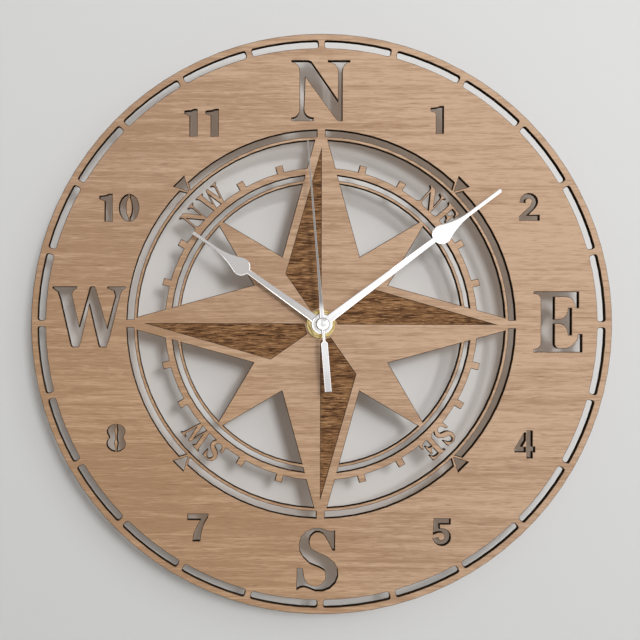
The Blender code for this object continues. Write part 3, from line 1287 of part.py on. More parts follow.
# Fixings in front of the movement
def make_hanger():
    """The bent strip that is held behind the dial and hangs on a nail."""
    t = HANGER_THICKNESS
    shelf = CASE_HEIGHT / 2 + HANGER_STANDOFF
    front = HANGER_BACK + t
    ear = HANGER_EAR_LEVEL
    top = shelf + HANGER_EAR_HEIGHT
    profile = [(-HANGER_FOOT, front), (-HANGER_FOOT, HANGER_BACK), (shelf, HANGER_BACK), (shelf, ear),
               (top, ear), (top, ear + t), (shelf + t, ear + t), (shelf + t, front)]
    hanger = add_piece("hanger", side_mesh("hanger", profile, HANGER_WIDTH), frame, finishes["steel"])
    bush_hole = rod_mesh("hanger_bush_hole", [CENTRE], BUSH_RADIUS + SEAT_GAP, HANGER_BACK - OVERRUN,
                         front + OVERRUN, ROUND_STEPS)
    cut(hanger, "hanger_bush_hole", bush_hole)
    hole_y = shelf + NAIL_HOLE_LIFT
    half_slot = NAIL_SLOT_WIDTH / 2
    side = math.sqrt(NAIL_HOLE_RADIUS ** 2 - half_slot ** 2)
    start = math.degrees(math.atan2(half_slot, side))
    keyhole = [polar(NAIL_HOLE_RADIUS, start + (360 - 2 * start) * i / ROUND_STEPS)
               for i in range(ROUND_STEPS + 1)]
    keyhole = [(x, hole_y + y) for x, y in keyhole]
    slot_top = hole_y + side + NAIL_SLOT_LENGTH - half_slot
    keyhole += ellipse_arc((0, slot_top), (half_slot, half_slot), 180, 0)
    hole = flat_mesh("hanger_nail_hole", [keyhole], t + 2 * OVERRUN)
    cut(hanger, "hanger_nail_hole", hole, level=ear - OVERRUN)


def make_bush():
    """The threaded bush that the nut clamps the movement with."""
    bore = HOUR_PIPE_RADIUS + RUNNING_CLEARANCE
    flange_front = BUSH_FLANGE_BACK + BUSH_FLANGE_THICKNESS
    profile = [(BUSH_RADIUS, BUSH_FRONT), (BUSH_RADIUS, flange_front), (BUSH_FLANGE_RADIUS, flange_front),
               (BUSH_FLANGE_RADIUS, BUSH_FLANGE_BACK), (bore, BUSH_FLANGE_BACK), (bore, BUSH_FRONT)]
    add_turned("threaded_bush", profile, frame, finishes["brass"], ROUND_STEPS)


def make_washers():
    """The rubber washer behind the dial and the brass one in front of it."""
    hole = BUSH_RADIUS + SEAT_GAP
    add_ring("rubber_washer", RUBBER_RADIUS, hole, RUBBER_BACK, RUBBER_BACK + RUBBER_THICKNESS, frame,
             finishes["rubber"], HIDDEN_STEPS)
    add_ring("brass_washer", WASHER_RADIUS, hole, WASHER_BACK, WASHER_BACK + WASHER_THICKNESS, frame,
             finishes["brass"])


def make_hex_nut():
    """The brass nut, its front corners turned off."""
    across_corners = NUT_ACROSS_FLATS / math.cos(math.pi / NUT_SIDES)
    outline = [turned_point(p, NUT_TURN) for p in circle(across_corners / 2, CENTRE, NUT_SIDES)]
    loops = [outline, circle(BUSH_RADIUS + SEAT_GAP)]
    nut = add_piece("hex_nut", flat_mesh("hex_nut", loops, NUT_HEIGHT), frame, finishes["brass"], NUT_BACK)
    corner = nut.modifiers.new("Corner", "BEVEL")
    corner.width = NUT_CHAMFER
    corner.segments = 1
    corner.limit_method = "ANGLE"
    corner.angle_limit = math.radians(SMOOTH_ANGLE)


# Hands
def spade_loop(hub, root, neck, bulb_place, bulb, taper_place, tip, length):
    """A hand that points up: hub, tapering shaft, round bulb, drawn-in taper and rounded tip."""
    root_angle = math.degrees(math.acos(root / 2 / hub))
    right = ellipse_arc(CENTRE, (hub, hub), -90, root_angle, HAND_ARC_STEP)
    neck_angle = math.degrees(math.acos(neck / 2 / bulb))
    right += ellipse_arc((0, bulb_place), (bulb, bulb), -neck_angle, BULB_LEAVE_ANGLE, HAND_ARC_STEP)
    start_x, start_y = right[-1]
    for i in range(1, TAPER_STEPS + 1):
        t = i / TAPER_STEPS
        spread = (start_x - tip / 2) * (1 - t) ** 2
        right.append((tip / 2 + spread, start_y + (taper_place - start_y) * t))
    right += ellipse_arc((0, length - tip / 2), (tip / 2, tip / 2), 0, 90, HAND_ARC_STEP)
    return right + mirrored(right[1:-1])[::-1]


def needle_loop():
    """The second hand: a thin needle one way and a paddle the other."""
    half_root = SECOND_ROOT_WIDTH / 2
    half_neck = SECOND_NECK_WIDTH / 2
    root_angle = math.degrees(math.acos(half_root / SECOND_HUB_RADIUS))
    neck_angle = math.degrees(math.acos(half_neck / SECOND_HUB_RADIUS))
    half_paddle = PADDLE_WIDTH / 2
    right = [(0, -PADDLE_END), (half_paddle, -PADDLE_END), (half_paddle, -PADDLE_START),
             (half_neck, -PADDLE_START + half_paddle - half_neck)]
    hub = (SECOND_HUB_RADIUS, SECOND_HUB_RADIUS)
    right += ellipse_arc(CENTRE, hub, -neck_angle, root_angle, HAND_ARC_STEP)
    right += [(SECOND_WAIST_WIDTH / 2, SECOND_WAIST_PLACE), (SECOND_TIP_WIDTH / 2, SECOND_LENGTH),
              (0, SECOND_LENGTH)]
    return right + mirrored(right[1:-1])[::-1]


def make_hand(name, loop, bore, back, thickness, axis):
    """A flat hand with its hole, and the collar behind it that grips its pipe."""
    hand = add_piece(name, flat_mesh(name, [loop], thickness), axis, finishes["silver"], back)
    collar = rod_mesh(name + "_collar", [CENTRE], bore + COLLAR_WALL, back - COLLAR_LENGTH,
                      back + thickness / 2, ROUND_STEPS)
    join(hand, name + "_collar", collar)
    hole = rod_mesh(name + "_hole", [CENTRE], bore, back - COLLAR_LENGTH - OVERRUN,
                    back + thickness + OVERRUN, ROUND_STEPS)
    cut(hand, name + "_hole", hole)
    return hand


def make_hands():
    """The three hands, the minute hand's nut and the second hand's cap."""
    hour = spade_loop(HOUR_HUB_RADIUS, HOUR_ROOT_WIDTH, HOUR_NECK_WIDTH, HOUR_BULB_PLACE, HOUR_BULB_RADIUS,
                      HOUR_TAPER_PLACE, HOUR_TIP_WIDTH, HOUR_LENGTH)
    make_hand("hour_hand", hour, HOUR_PIPE_RADIUS + PRESS_GAP, HOUR_HAND_BACK, HAND_THICKNESS, hour_axis)
    minute = spade_loop(MINUTE_HUB_RADIUS, MINUTE_ROOT_WIDTH, MINUTE_NECK_WIDTH, MINUTE_BULB_PLACE,
                        MINUTE_BULB_RADIUS, MINUTE_TAPER_PLACE, MINUTE_TIP_WIDTH, MINUTE_LENGTH)
    make_hand("minute_hand", minute, MINUTE_PIPE_RADIUS + PRESS_GAP, MINUTE_HAND_BACK, HAND_THICKNESS,
              minute_axis)
    add_ring("minute_nut", MINUTE_NUT_RADIUS, MINUTE_PIPE_RADIUS + PRESS_GAP, MINUTE_NUT_BACK,
             MINUTE_NUT_BACK + MINUTE_NUT_HEIGHT, minute_axis, finishes["brass"], HIDDEN_STEPS)
    hole = circle(SECONDS_ARBOR_RADIUS + PRESS_GAP, CENTRE, PIN_STEPS)
    second = flat_mesh("second_hand", [needle_loop(), hole], SECOND_THICKNESS)
    add_piece("second_hand", second, second_axis, finishes["silver"], SECOND_HAND_BACK)
    dome = [(0, CAP_BACK + CAP_HEIGHT)]
    for x, y in ellipse_arc(CENTRE, (CAP_RADIUS, CAP_HEIGHT - CAP_EDGE), 90, 0, CAP_ARC_STEP)[1:]:
        dome.append((x, CAP_BACK + CAP_EDGE + y))
    dome += [(CAP_RADIUS, CAP_BACK), (0, CAP_BACK)]
    add_turned("second_hand_cap", dome, second_axis, finishes["silver"], ROUND_STEPS, closed=False)


# The clock
clear_scene()
parts = new_collection(CLOCK_NAME)
cutters = new_collection("cutters")
finishes = {
    "oak": new_finish("oak", (0.51, 0.33, 0.21), 0.6, 0),
    "silver": new_finish("silver", (0.83, 0.84, 0.85), 0.25, 1),
    "brass": new_finish("brass", (0.78, 0.57, 0.25), 0.3, 1),
    "steel": new_finish("steel", (0.55, 0.56, 0.58), 0.4, 1),
    "plated": new_finish("plated", (0.7, 0.7, 0.68), 0.3, 1),
    "black": new_finish("black", (0.02, 0.02, 0.02), 0.45, 0),
    "natural": new_finish("natural", (0.8, 0.78, 0.7), 0.4, 0),
    "rubber": new_finish("rubber", (0.02, 0.02, 0.02), 0.9, 0),
    "magnet": new_finish("magnet", (0.06, 0.06, 0.065), 0.5, 0),
    "copper": new_finish("copper", (0.55, 0.22, 0.1), 0.35, 1),
    "board": new_finish("board", (0.03, 0.16, 0.07), 0.5, 0),
    "cell": new_finish("cell", (0.15, 0.15, 0.17), 0.35, 0),
}
frame = new_axis(CLOCK_NAME, None, CENTRE, 0)
frame.rotation_euler = (math.radians(90), 0, 0)
second_axis = new_axis("second_axis", frame, CENTRE, SECOND_ANGLE)
minute_axis = new_axis("minute_axis", frame, CENTRE, MINUTE_ANGLE)
hour_axis = new_axis("hour_axis", frame, CENTRE, HOUR_ANGLE)
centre_axis = new_axis("centre_axis", frame, CENTRE, 0)
rotor_axis = new_axis("rotor_axis", frame, ROTOR_PLACE, 0)
intermediate_axis = new_axis("intermediate_axis", frame, INTERMEDIATE_PLACE, 0)
third_axis = new_axis("third_axis", frame, THIRD_PLACE, 0)
motion_axis = new_axis("motion_axis", frame, MOTION_PLACE, 0)
knob_axis = new_axis("knob_axis", frame, KNOB_PLACE, 0)
cell_axis = new_axis("cell_axis", frame, (0, CELL_Y), 0)

make_dial()
make_hanger()
make_bush()
make_washers()
make_hex_nut()
make_hands()
make_case_front()
make_case_rear()
make_train_bridge()
make_rotor()
make_intermediate_wheel()
make_seconds_wheel()
make_third_wheel()
make_centre_gear()
make_minute_pipe()
make_motion_wheel()
make_hour_wheel()
make_setting_knob()
make_stator()
make_coil()
make_board()
make_contacts()
make_cell()
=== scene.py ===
"""Looks of the pierced compass wall clock: its finishes, its finest pieces and its surroundings.

Everything is in metres, with +Z up and the dial facing -Y. The wall that the clock hangs on is
the plane Y = 0. Patterns are scaled in units per metre, and angles are in degrees.
"""

import logging
import math
from collections.abc import Callable
from dataclasses import dataclass
from enum import Enum
from typing import Protocol

import bmesh
import bpy
from mathutils import Matrix, Vector


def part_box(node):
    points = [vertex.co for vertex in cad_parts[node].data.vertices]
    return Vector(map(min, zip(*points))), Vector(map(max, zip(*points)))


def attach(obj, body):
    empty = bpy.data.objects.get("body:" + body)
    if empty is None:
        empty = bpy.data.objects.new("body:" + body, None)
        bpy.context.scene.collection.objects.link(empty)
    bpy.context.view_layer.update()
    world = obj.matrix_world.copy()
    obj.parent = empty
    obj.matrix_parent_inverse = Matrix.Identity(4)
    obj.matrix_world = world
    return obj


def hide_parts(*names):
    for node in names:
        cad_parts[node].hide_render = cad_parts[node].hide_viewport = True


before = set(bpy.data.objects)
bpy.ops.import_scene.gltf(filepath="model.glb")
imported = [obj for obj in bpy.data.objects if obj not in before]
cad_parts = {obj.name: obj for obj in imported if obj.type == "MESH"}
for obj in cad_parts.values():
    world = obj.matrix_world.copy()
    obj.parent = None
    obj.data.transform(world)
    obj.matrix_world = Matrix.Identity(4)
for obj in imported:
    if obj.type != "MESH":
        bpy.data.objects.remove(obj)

LOG = logging.getLogger("compass_wall_clock")
MM = 0.001
PHOTO_SIDE = 640

# Meshes are eased in millimetres, so these lengths are in millimetres.
WELD_DISTANCE = 0.002
LEVEL_TOLERANCE = 0.01
LEVEL_DIGITS = 2

# A face is flat or a wall by the share of its direction that lies along Y.
FLAT_SHARE = 0.99
WALL_SHARE = 0.5

FLAT_ANGLE = 0.2
FOLD_ANGLE = 35.0
CREASE_ANGLE = 30.0
ROUND_PROFILE = 0.5

# The length of one wave of Blender's wave pattern at a scale of 1.
WAVE_LENGTH = 0.314

Colour = tuple[float, float, float]
Triple = tuple[float, float, float]
Point = tuple[float, float]
Span = tuple[float, float]
Socket = bpy.types.NodeSocket
EdgeTest = Callable[[bmesh.types.BMEdge], bool]

# The levels that most of a noise pattern lies between.
MIDDLE_LEVELS: Span = (0.3, 0.7)


class Body(Enum):
    """The bodies of the frame that new pieces ride on."""

    BASE = "clock_base"
    SECONDS = "seconds"
    MINUTES = "minutes"
    HOURS = "hours"
    KNOB = "knob"
    BATTERY = "battery"


class Slot(Enum):
    """Names of the record's material slots, one kept with each finer copy, though nothing reads it.
    """

    OAK = "oak"
    SILVER = "silver"
    BRASS = "brass"
    STEEL = "steel"
    RUBBER = "rubber"
    BLACK = "black"
    CELL = "cell"


class Streaks(Enum):
    """The direction that a metal's streaks run in, as the stretch of their pattern."""

    ALONG_X = (1.0, 12.0, 12.0)
    ALONG_Z = (12.0, 12.0, 1.0)


# Shading
def even(scale: float) -> Triple:
    """The same scale along X, Y and Z."""
    return scale, scale, scale


def scaled(colour: Colour, factor: float) -> Colour:
    """A colour made darker or lighter by a factor."""
    return tuple(factor * part for part in colour)


@dataclass(frozen=True)
class Noise:
    """A noise pattern: its scale along X, Y and Z, its octaves, their weight and its warp."""

    scale: Triple
    detail: float = 3.0
    roughness: float = 0.5
    distortion: float = 0.0


class Finish(Protocol):
    """A finish that a piece is given."""

    def build(self) -> bpy.types.Material:
        """Builds the finish's material."""


class Surface:
    """A Principled material being built, with short calls for the nodes that finishes use."""

    def __init__(self, name: str) -> None:
        """Starts the material.

        Args:
            name: The material's name.
        """
        self.material = bpy.data.materials.new(name)
        self.material.use_nodes = True
        self.tree = self.material.node_tree
        self.shader = self.tree.nodes["Principled BSDF"]
        self.places = self.tree.nodes.new("ShaderNodeTexCoord")

    def add(self, kind: str, inputs: dict | None = None, **settings: object) -> bpy.types.Node:
        """Adds a node.

        Args:
            kind: The node's type without its ShaderNode prefix.
            inputs: Values or sockets by input name or number.
            settings: Properties of the node.

        Returns:
            The new node.
        """
        node = self.tree.nodes.new("ShaderNode" + kind)
        for key, value in settings.items():
            setattr(node, key, value)
        for key, value in (inputs or {}).items():
            self.feed(node.inputs[key], value)
        return node

    def feed(self, target: Socket, value: object) -> None:
        """Links a socket to an input, or sets the input's value.

        Args:
            target: The input.
            value: A socket, or a plain value.
        """
        if isinstance(value, bpy.types.NodeSocket):
            self.tree.links.new(value, target)
        elif target.type == "RGBA" and len(value) == 3:
            target.default_value = (*value, 1.0)
        else:
            target.default_value = value

    def set(self, **values: object) -> None:
        """Sets or links the shader's inputs, with underscores for the spaces in their names."""
        for key, value in values.items():
            self.feed(self.shader.inputs[key.replace("_", " ")], value)

    def stretched(self, scale: Triple, turn: float = 0.0) -> Socket:
        """Object coordinates turned about the clock's axis and scaled.

        Args:
            scale: Pattern units per metre along X, Y and Z.
            turn: Clockwise turn from +Z towards +X, as the dial is seen.

        Returns:
            The vector socket.
        """
        turned = self.add("Mapping", {"Vector": self.places.outputs["Object"],
                                      "Rotation": (0.0, math.radians(-turn), 0.0)})
        return self.add("Mapping", {"Vector": turned.outputs[0], "Scale": scale}).outputs[0]

    def noise(self, pattern: Noise, turn: float = 0.0) -> Socket:
        """A noise pattern from 0 to 1.

        Args:
            pattern: The pattern.
            turn: Clockwise turn from +Z towards +X, as the dial is seen.

        Returns:
            The value socket.
        """
        node = self.add("TexNoise", {"Vector": self.stretched(pattern.scale, turn), "Scale": 1.0,
                                     "Detail": pattern.detail, "Roughness": pattern.roughness,
                                     "Distortion": pattern.distortion})
        return node.outputs["Fac"]

    def maths(self, operation: str, first: object, second: object = 0.0) -> Socket:
        """A Math node of two values.

        Args:
            operation: Blender's name for the operation.
            first: The first value or socket.
            second: The second value or socket.

        Returns:
            The result socket.
        """
        return self.add("Math", {0: first, 1: second}, operation=operation).outputs[0]

    def blended(self, *shares: tuple[float, Socket]) -> Socket:
        """A sum of patterns, each with its share.

        Args:
            shares: Pairs of a share and a pattern.

        Returns:
            The value socket.
        """
        total = self.maths("MULTIPLY", shares[0][1], shares[0][0])
        for share, pattern in shares[1:]:
            total = self.maths("ADD", total, self.maths("MULTIPLY", pattern, share))
        return total

    def ramp(self, value: Socket, low: float, high: float, start: float = 0.0,
             end: float = 1.0) -> Socket:
        """A smooth step between two levels of a value.

        Args:
            value: The value.
            low: Level where the step starts.
            high: Level where it ends.
            start: Result below the step.
            end: Result above it.

        Returns:
            The result socket.
        """
        node = self.add("MapRange", {"Value": value, "From Min": low, "From Max": high,
                                     "To Min": start, "To Max": end},
                        interpolation_type="SMOOTHSTEP")
        return node.outputs[0]

    def varied(self, pattern: Socket, start: float, end: float) -> Socket:
        """A value that follows a noise pattern.

        Args:
            pattern: The pattern.
            start: The value where the pattern is low.
            end: The value where it is high.

        Returns:
            The value socket.
        """
        return self.ramp(pattern, *MIDDLE_LEVELS, start, end)

    def roughen(self, pattern: Socket, roughness: float, spread: Span) -> None:
        """Sets a roughness that follows a noise pattern.

        Args:
            pattern: The pattern.
            roughness: The plain roughness.
            spread: What is added to it where the pattern is low, and where it is high.
        """
        self.set(Roughness=self.varied(pattern, *(roughness + part for part in spread)))

    def mix(self, share: object, first: object, second: object, blend: str = "MIX") -> Socket:
        """A mix of two colours.

        Args:
            share: Share of the second colour.
            first: The first colour.
            second: The second colour.
            blend: Blender's name for the blend.

        Returns:
            The colour socket.
        """
        node = self.add("Mix", data_type="RGBA", blend_type=blend)
        for index, value in ((0, share), (6, first), (7, second)):
            self.feed(node.inputs[index], value)
        return node.outputs[2]

    def bump(self, height: Socket, depth: float, normal: Socket | None = None) -> Socket:
        """A bump from a height pattern.

        Args:
            height: The pattern, from 0 to 1.
            depth: Height of the pattern.
            normal: Another bump to add it to.

        Returns:
            The normal socket.
        """
        inputs = {"Height": height, "Distance": depth, "Strength": 1.0}
        if normal is not None:
            inputs["Normal"] = normal
        return self.add("Bump", inputs).outputs[0]

    def normal_along(self, axis: str) -> Socket:
        """The surface's direction along one axis of its object, from -1 to 1."""
        return self.add("SeparateXYZ", {0: self.places.outputs["Normal"]}).outputs[axis]

    def place_along(self, axis: str) -> Socket:
        """The point's coordinate along one axis of its object."""
        return self.add("SeparateXYZ", {0: self.places.outputs["Object"]}).outputs[axis]


@dataclass(frozen=True)
class OakBoard:
    """Board with oak veneer on both faces, engraved in places.

    The floor's and the back's spans are distances from the front, in depths of the engraving.
    """

    front: float
    half_width: float
    pale: Colour = (0.556, 0.381, 0.259)
    deep: Colour = (0.370, 0.230, 0.141)
    pore: Colour = (0.200, 0.105, 0.055)
    # Painted shade: this darker, warmer tint multiplies the veneer towards the lower left.
    lower_left_shade_tint: Colour = (0.99, 0.95, 0.87)
    burnt: Colour = (0.050, 0.020, 0.007)
    burnt_middle: Colour = (0.190, 0.090, 0.035)
    burnt_pale: Colour = (0.370, 0.205, 0.095)
    broad: Noise = Noise((3.0, 3.0, 26.0), 2.0, distortion=0.4)
    bands: Noise = Noise((16.0, 16.0, 420.0), 3.0, 0.6, 0.8)
    lines: Noise = Noise((95.0, 95.0, 1500.0), 3.0, 0.65, 0.9)
    pores: Noise = Noise((110.0, 110.0, 1700.0), 1.5, distortion=0.4)
    waves: Noise = Noise((60.0, 60.0, 720.0), 3.0, 0.65, 2.0)
    strands: Noise = Noise((130.0, 130.0, 1900.0), 3.0, 0.7, 1.2)
    fibres: Noise = Noise((60.0, 60.0, 1500.0), 3.0, 0.6)
    tone_span: Span = (0.43, 0.62)
    pore_span: Span = (0.60, 0.74)
    pore_share: float = 0.42
    lower_left_shade_span: Span = (0.15, 0.5)
    middle_span: Span = (0.44, 0.50)
    pale_span: Span = (0.52, 0.585)
    engraving_depth: float = 0.35 * MM
    floor_span: Span = (0.6, 0.8)
    back_span: Span = (2.0, 4.0)
    fibre_depth: float = 0.03 * MM
    roughness: Span = (0.5, 0.68)
    shine: float = 0.15

    def veneer(self, s: Surface) -> Socket:
        """The colour of the bare veneer: soft bands, fine lines and short pores along X.

        Painted light makes it paler towards +X and +Z, and painted shade makes it darker and warmer
        towards the lower left.

        Args:
            s: The surface being built.

        Returns:
            The colour socket.
        """
        broad, bands, lines = (s.noise(pattern) for pattern in (self.broad, self.bands, self.lines))
        # Painted light: across and upward make the veneer paler towards +X and +Z, as if lit from
        # the upper right.
        across, upward = (s.ramp(s.place_along(axis), -self.half_width, self.half_width)
                          for axis in ("X", "Z"))
        tone = s.blended((0.18, broad), (0.36, bands), (0.38, lines), (0.10, across),
                         (0.02, upward))
        wood = s.mix(s.ramp(tone, *self.tone_span), self.deep, self.pale)
        pores = s.ramp(s.noise(self.pores), *self.pore_span, 0.0, self.pore_share)
        grained = s.mix(pores, wood, self.pore)
        # Painted shade: corner is 1 at the lower left and fades out before the middle; where it is
        # 1 the tint darkens the veneer.
        corner = s.ramp(s.blended((0.5, across), (0.5, upward)), *self.lower_left_shade_span, 1.0, 0.0)
        return s.mix(corner, grained, self.lower_left_shade_tint, "MULTIPLY")

    def engraving(self, s: Surface) -> Socket:
        """The colour of the engraved floor, scorched unevenly along the grain.

        Args:
            s: The surface being built.

        Returns:
            The colour socket.
        """
        tone = s.blended((0.5, s.noise(self.waves)), (0.5, s.noise(self.strands)))
        dark = s.mix(s.ramp(tone, *self.middle_span), self.burnt, self.burnt_middle)
        return s.mix(s.ramp(tone, *self.pale_span), dark, self.burnt_pale)

    def behind(self, s: Surface, span: Span) -> Socket:
        """A step from 0 to 1 as a point lies deeper in the board.

        Args:
            s: The surface being built.
            span: Where the step starts and ends.

        Returns:
            The value socket.
        """
        start, end = (self.front + depth * self.engraving_depth for depth in span)
        return s.ramp(s.place_along("Y"), start, end)

    def build(self) -> bpy.types.Material:
        """Builds the material.

        Returns:
            The finished material.
        """
        s = Surface("oak_board")
        before_back = s.maths("SUBTRACT", 1.0, self.behind(s, self.back_span))
        engraved = s.maths("MULTIPLY", self.behind(s, self.floor_span), before_back)
        fibres = s.noise(self.fibres)
        s.set(Base_Color=s.mix(engraved, self.veneer(s), self.engraving(s)),
              Roughness=s.varied(fibres, *self.roughness),
              Normal=s.bump(fibres, self.fibre_depth), Specular_IOR_Level=self.shine)
        return s.material


@dataclass(frozen=True)
class SingedEdge:
    """Veneer and glue scorched brown along the laser's cut."""

    light: Colour = (0.060, 0.034, 0.018)
    dark: Colour = (0.016, 0.009, 0.005)
    soot: Noise = Noise((420.0, 420.0, 900.0), 3.0, 0.6)
    soot_span: Span = (0.35, 0.65)
    soot_depth: float = 0.02 * MM
    roughness: Span = (0.7, 0.85)
    shine: float = 0.2

    def build(self) -> bpy.types.Material:
        """Builds the material.

        Returns:
            The finished material.
        """
        s = Surface("singed_edge")
        soot = s.noise(self.soot)
        s.set(Base_Color=s.mix(s.ramp(soot, *self.soot_span), self.dark, self.light),
              Roughness=s.varied(soot, *self.roughness),
              Normal=s.bump(soot, self.soot_depth), Specular_IOR_Level=self.shine)
        return s.material


@dataclass(frozen=True)
class CharredWall:
    """The board's layers as the laser leaves them: matt char with faint ply lines."""

    char: Colour = (0.016, 0.010, 0.006)
    ply: Colour = (0.045, 0.028, 0.016)
    layers: Noise = Noise((30.0, 1500.0, 30.0), 2.0)
    layer_span: Span = (0.45, 0.62)
    soot: Noise = Noise((900.0, 200.0, 900.0), 2.0)
    soot_depth: float = 0.03 * MM
    roughness: Span = (0.85, 0.95)
    shine: float = 0.0

    def build(self) -> bpy.types.Material:
        """Builds the material.

        Returns:
            The finished material.
        """
        s = Surface("charred_wall")
        soot = s.noise(self.soot)
        s.set(Base_Color=s.mix(s.ramp(s.noise(self.layers), *self.layer_span), self.char, self.ply),
              Roughness=s.varied(soot, *self.roughness),
              Normal=s.bump(soot, self.soot_depth), Specular_IOR_Level=self.shine)
        return s.material


@dataclass(frozen=True)
class HandMetal:
    """Stamped and polished hand metal with faint lines along the hand; its colour may be darkened
    all over or on the needle as painted shade.
    """

    name: str
    roughness: float
    turn: float
    colour: Colour = (0.87, 0.87, 0.875)
    # Painted shade: a darker metal colour for the needle, standing in for its dull reflection.
    needle_shaded_colour: Colour | None = None
    needle_start: float = 6.0 * MM
    needle_full: float = 12.0 * MM
    lines: Noise = Noise((2400.0, 2400.0, 90.0))
    line_depth: float = 0.0004 * MM
    spread: Span = (-0.03, 0.04)
    cloud: Noise = Noise(even(60.0), 2.0)
    cloud_span: Span = (0.35, 0.7)
    cloud_share: float = 0.10
    cloud_light: float = 0.6

    def build(self) -> bpy.types.Material:
        """Builds the material.

        Returns:
            The finished material.
        """
        s = Surface(self.name)
        lines = s.noise(self.lines, self.turn)
        cloud = s.ramp(s.noise(self.cloud), *self.cloud_span, 0.0, self.cloud_share)
        colour = s.mix(cloud, self.colour, scaled(self.colour, self.cloud_light))
        # Painted shade: beyond needle_start along Z the metal turns to the darker needle colour.
        if self.needle_shaded_colour is not None:
            along = s.ramp(s.place_along("Z"), self.needle_start, self.needle_full)
            colour = s.mix(along, colour, self.needle_shaded_colour)
        s.set(Base_Color=colour, Normal=s.bump(lines, self.line_depth), Metallic=1.0)
        s.roughen(lines, self.roughness, self.spread)
        return s.material


@dataclass(frozen=True)
class Metal:
    """Drawn, rolled, turned or plated metal with fine streaks."""

    name: str
    colour: Colour
    roughness: float
    spread: float = 0.06
    streaks: Streaks = Streaks.ALONG_Z
    streak_scale: float = 260.0
    streak_depth: float = 0.0015 * MM
    cloud: Noise = Noise(even(90.0), 2.0)
    cloud_share: float = 0.2
    cloud_light: float = 0.55

    def build(self) -> bpy.types.Material:
        """Builds the material.

        Returns:
            The finished material.
        """
        s = Surface(self.name)
        scale = tuple(self.streak_scale * stretch for stretch in self.streaks.value)
        streaks = s.noise(Noise(scale, detail=4.0, roughness=0.6))
        cloud = s.varied(s.noise(self.cloud), 0.0, self.cloud_share)
        s.set(Base_Color=s.mix(cloud, self.colour, scaled(self.colour, self.cloud_light)),
              Normal=s.bump(streaks, self.streak_depth), Metallic=1.0)
        s.roughen(streaks, self.roughness, (-self.spread, self.spread))
        return s.material


@dataclass(frozen=True)
class TurnedBrass:
    """Bright turned brass with tool rings about the clock's axis, and a thread on the bush."""

    name: str
    thread_pitch: float | None = None
    thread_share: float = 0.4
    colour: Colour = (0.74, 0.60, 0.28)
    tarnish: Colour = (0.40, 0.31, 0.12)
    tarnish_span: Span = (0.46, 0.72)
    tarnish_share: float = 0.6
    cloud: Noise = Noise(even(180.0), 3.0, 0.6)
    roughness: float = 0.14
    spread: Span = (-0.04, 0.10)
    ring_scale: float = 3200.0
    ring_wander: float = 2.0
    ring_detail: float = 1.5
    ring_depth: float = 0.0003 * MM

    def thread(self, s: Surface, normal: Socket) -> Socket:
        """Adds the thread to a bump.

        Args:
            s: The surface being built.
            normal: The bump.

        Returns:
            The normal socket.
        """
        waves = s.add("TexWave", {"Vector": s.stretched((0.0, 1.0, 0.0)),
                                  "Scale": WAVE_LENGTH / self.thread_pitch}, bands_direction="Y")
        return s.bump(waves.outputs["Fac"], self.thread_share * self.thread_pitch, normal)

    def build(self) -> bpy.types.Material:
        """Builds the material.

        Returns:
            The finished material.
        """
        s = Surface(self.name)
        cloud = s.noise(self.cloud)
        tarnished = s.ramp(cloud, *self.tarnish_span, 0.0, self.tarnish_share)
        rings = s.add("TexWave", {"Vector": s.stretched((1.0, 0.0, 1.0)), "Scale": self.ring_scale,
                                  "Distortion": self.ring_wander, "Detail": self.ring_detail},
                      wave_type="RINGS", rings_direction="SPHERICAL")
        normal = s.bump(rings.outputs["Fac"], self.ring_depth)
        if self.thread_pitch is not None:
            normal = self.thread(s, normal)
        s.set(Base_Color=s.mix(tarnished, self.colour, self.tarnish), Normal=normal, Metallic=1.0)
        s.roughen(cloud, self.roughness, self.spread)
        return s.material


@dataclass(frozen=True)
class Moulding:
    """Moulded plastic or rubber with a fine spark-eroded grain and a little dust."""

    name: str
    colour: Colour
    roughness: float
    spread: Span = (-0.05, 0.06)
    grain: Noise = Noise(even(2600.0), 2.0)
    grain_depth: float = 0.012 * MM
    glow_through: float = 0.0
    cloud: Noise = Noise(even(70.0))
    cloud_span: Span = (0.35, 0.65)
    cloud_light: float = 1.35
    cloud_lift: float = 0.004
    dust: Noise = Noise(even(900.0), 2.0)
    dust_span: Span = (0.70, 0.80)
    dust_share: float = 0.25
    dust_lift: float = 0.12

    def build(self) -> bpy.types.Material:
        """Builds the material.

        Returns:
            The finished material.
        """
        s = Surface(self.name)
        lighter = tuple(min(1.0, part + self.cloud_lift)
                        for part in scaled(self.colour, self.cloud_light))
        dusty = tuple(part + self.dust_lift for part in self.colour)
        cloud = s.noise(self.cloud)
        plain = s.mix(s.ramp(cloud, *self.cloud_span), self.colour, lighter)
        dust = s.ramp(s.noise(self.dust), *self.dust_span, 0.0, self.dust_share)
        s.set(Base_Color=s.mix(dust, plain, dusty),
              Normal=s.bump(s.noise(self.grain), self.grain_depth),
              Subsurface_Weight=self.glow_through, Subsurface_Scale=MM)
        s.roughen(cloud, self.roughness, self.spread)
        return s.material


@dataclass(frozen=True)
class Winding:
    """Enamelled copper wire wound in close turns along X."""

    wire: float = 0.12 * MM
    wire_share: float = 0.3
    wander: float = 0.4
    colour: Colour = (0.62, 0.24, 0.09)
    cloud: Noise = Noise(even(400.0))
    cloud_span: Span = (0.35, 0.65)
    cloud_light: float = 0.6
    roughness: Span = (0.22, 0.4)
    metal_share: float = 0.7

    def build(self) -> bpy.types.Material:
        """Builds the material.

        Returns:
            The finished material.
        """
        s = Surface("copper_winding")
        turns = s.add("TexWave", {"Vector": s.stretched((1.0, 0.0, 0.0)),
                                  "Scale": WAVE_LENGTH / self.wire, "Distortion": self.wander,
                                  "Detail": 1.0})
        cloud = s.noise(self.cloud)
        s.set(Base_Color=s.mix(s.ramp(cloud, *self.cloud_span), self.colour,
                               scaled(self.colour, self.cloud_light)),
              Roughness=s.varied(cloud, *self.roughness), Metallic=self.metal_share,
              Normal=s.bump(turns.outputs["Fac"], self.wire_share * self.wire))
        return s.material


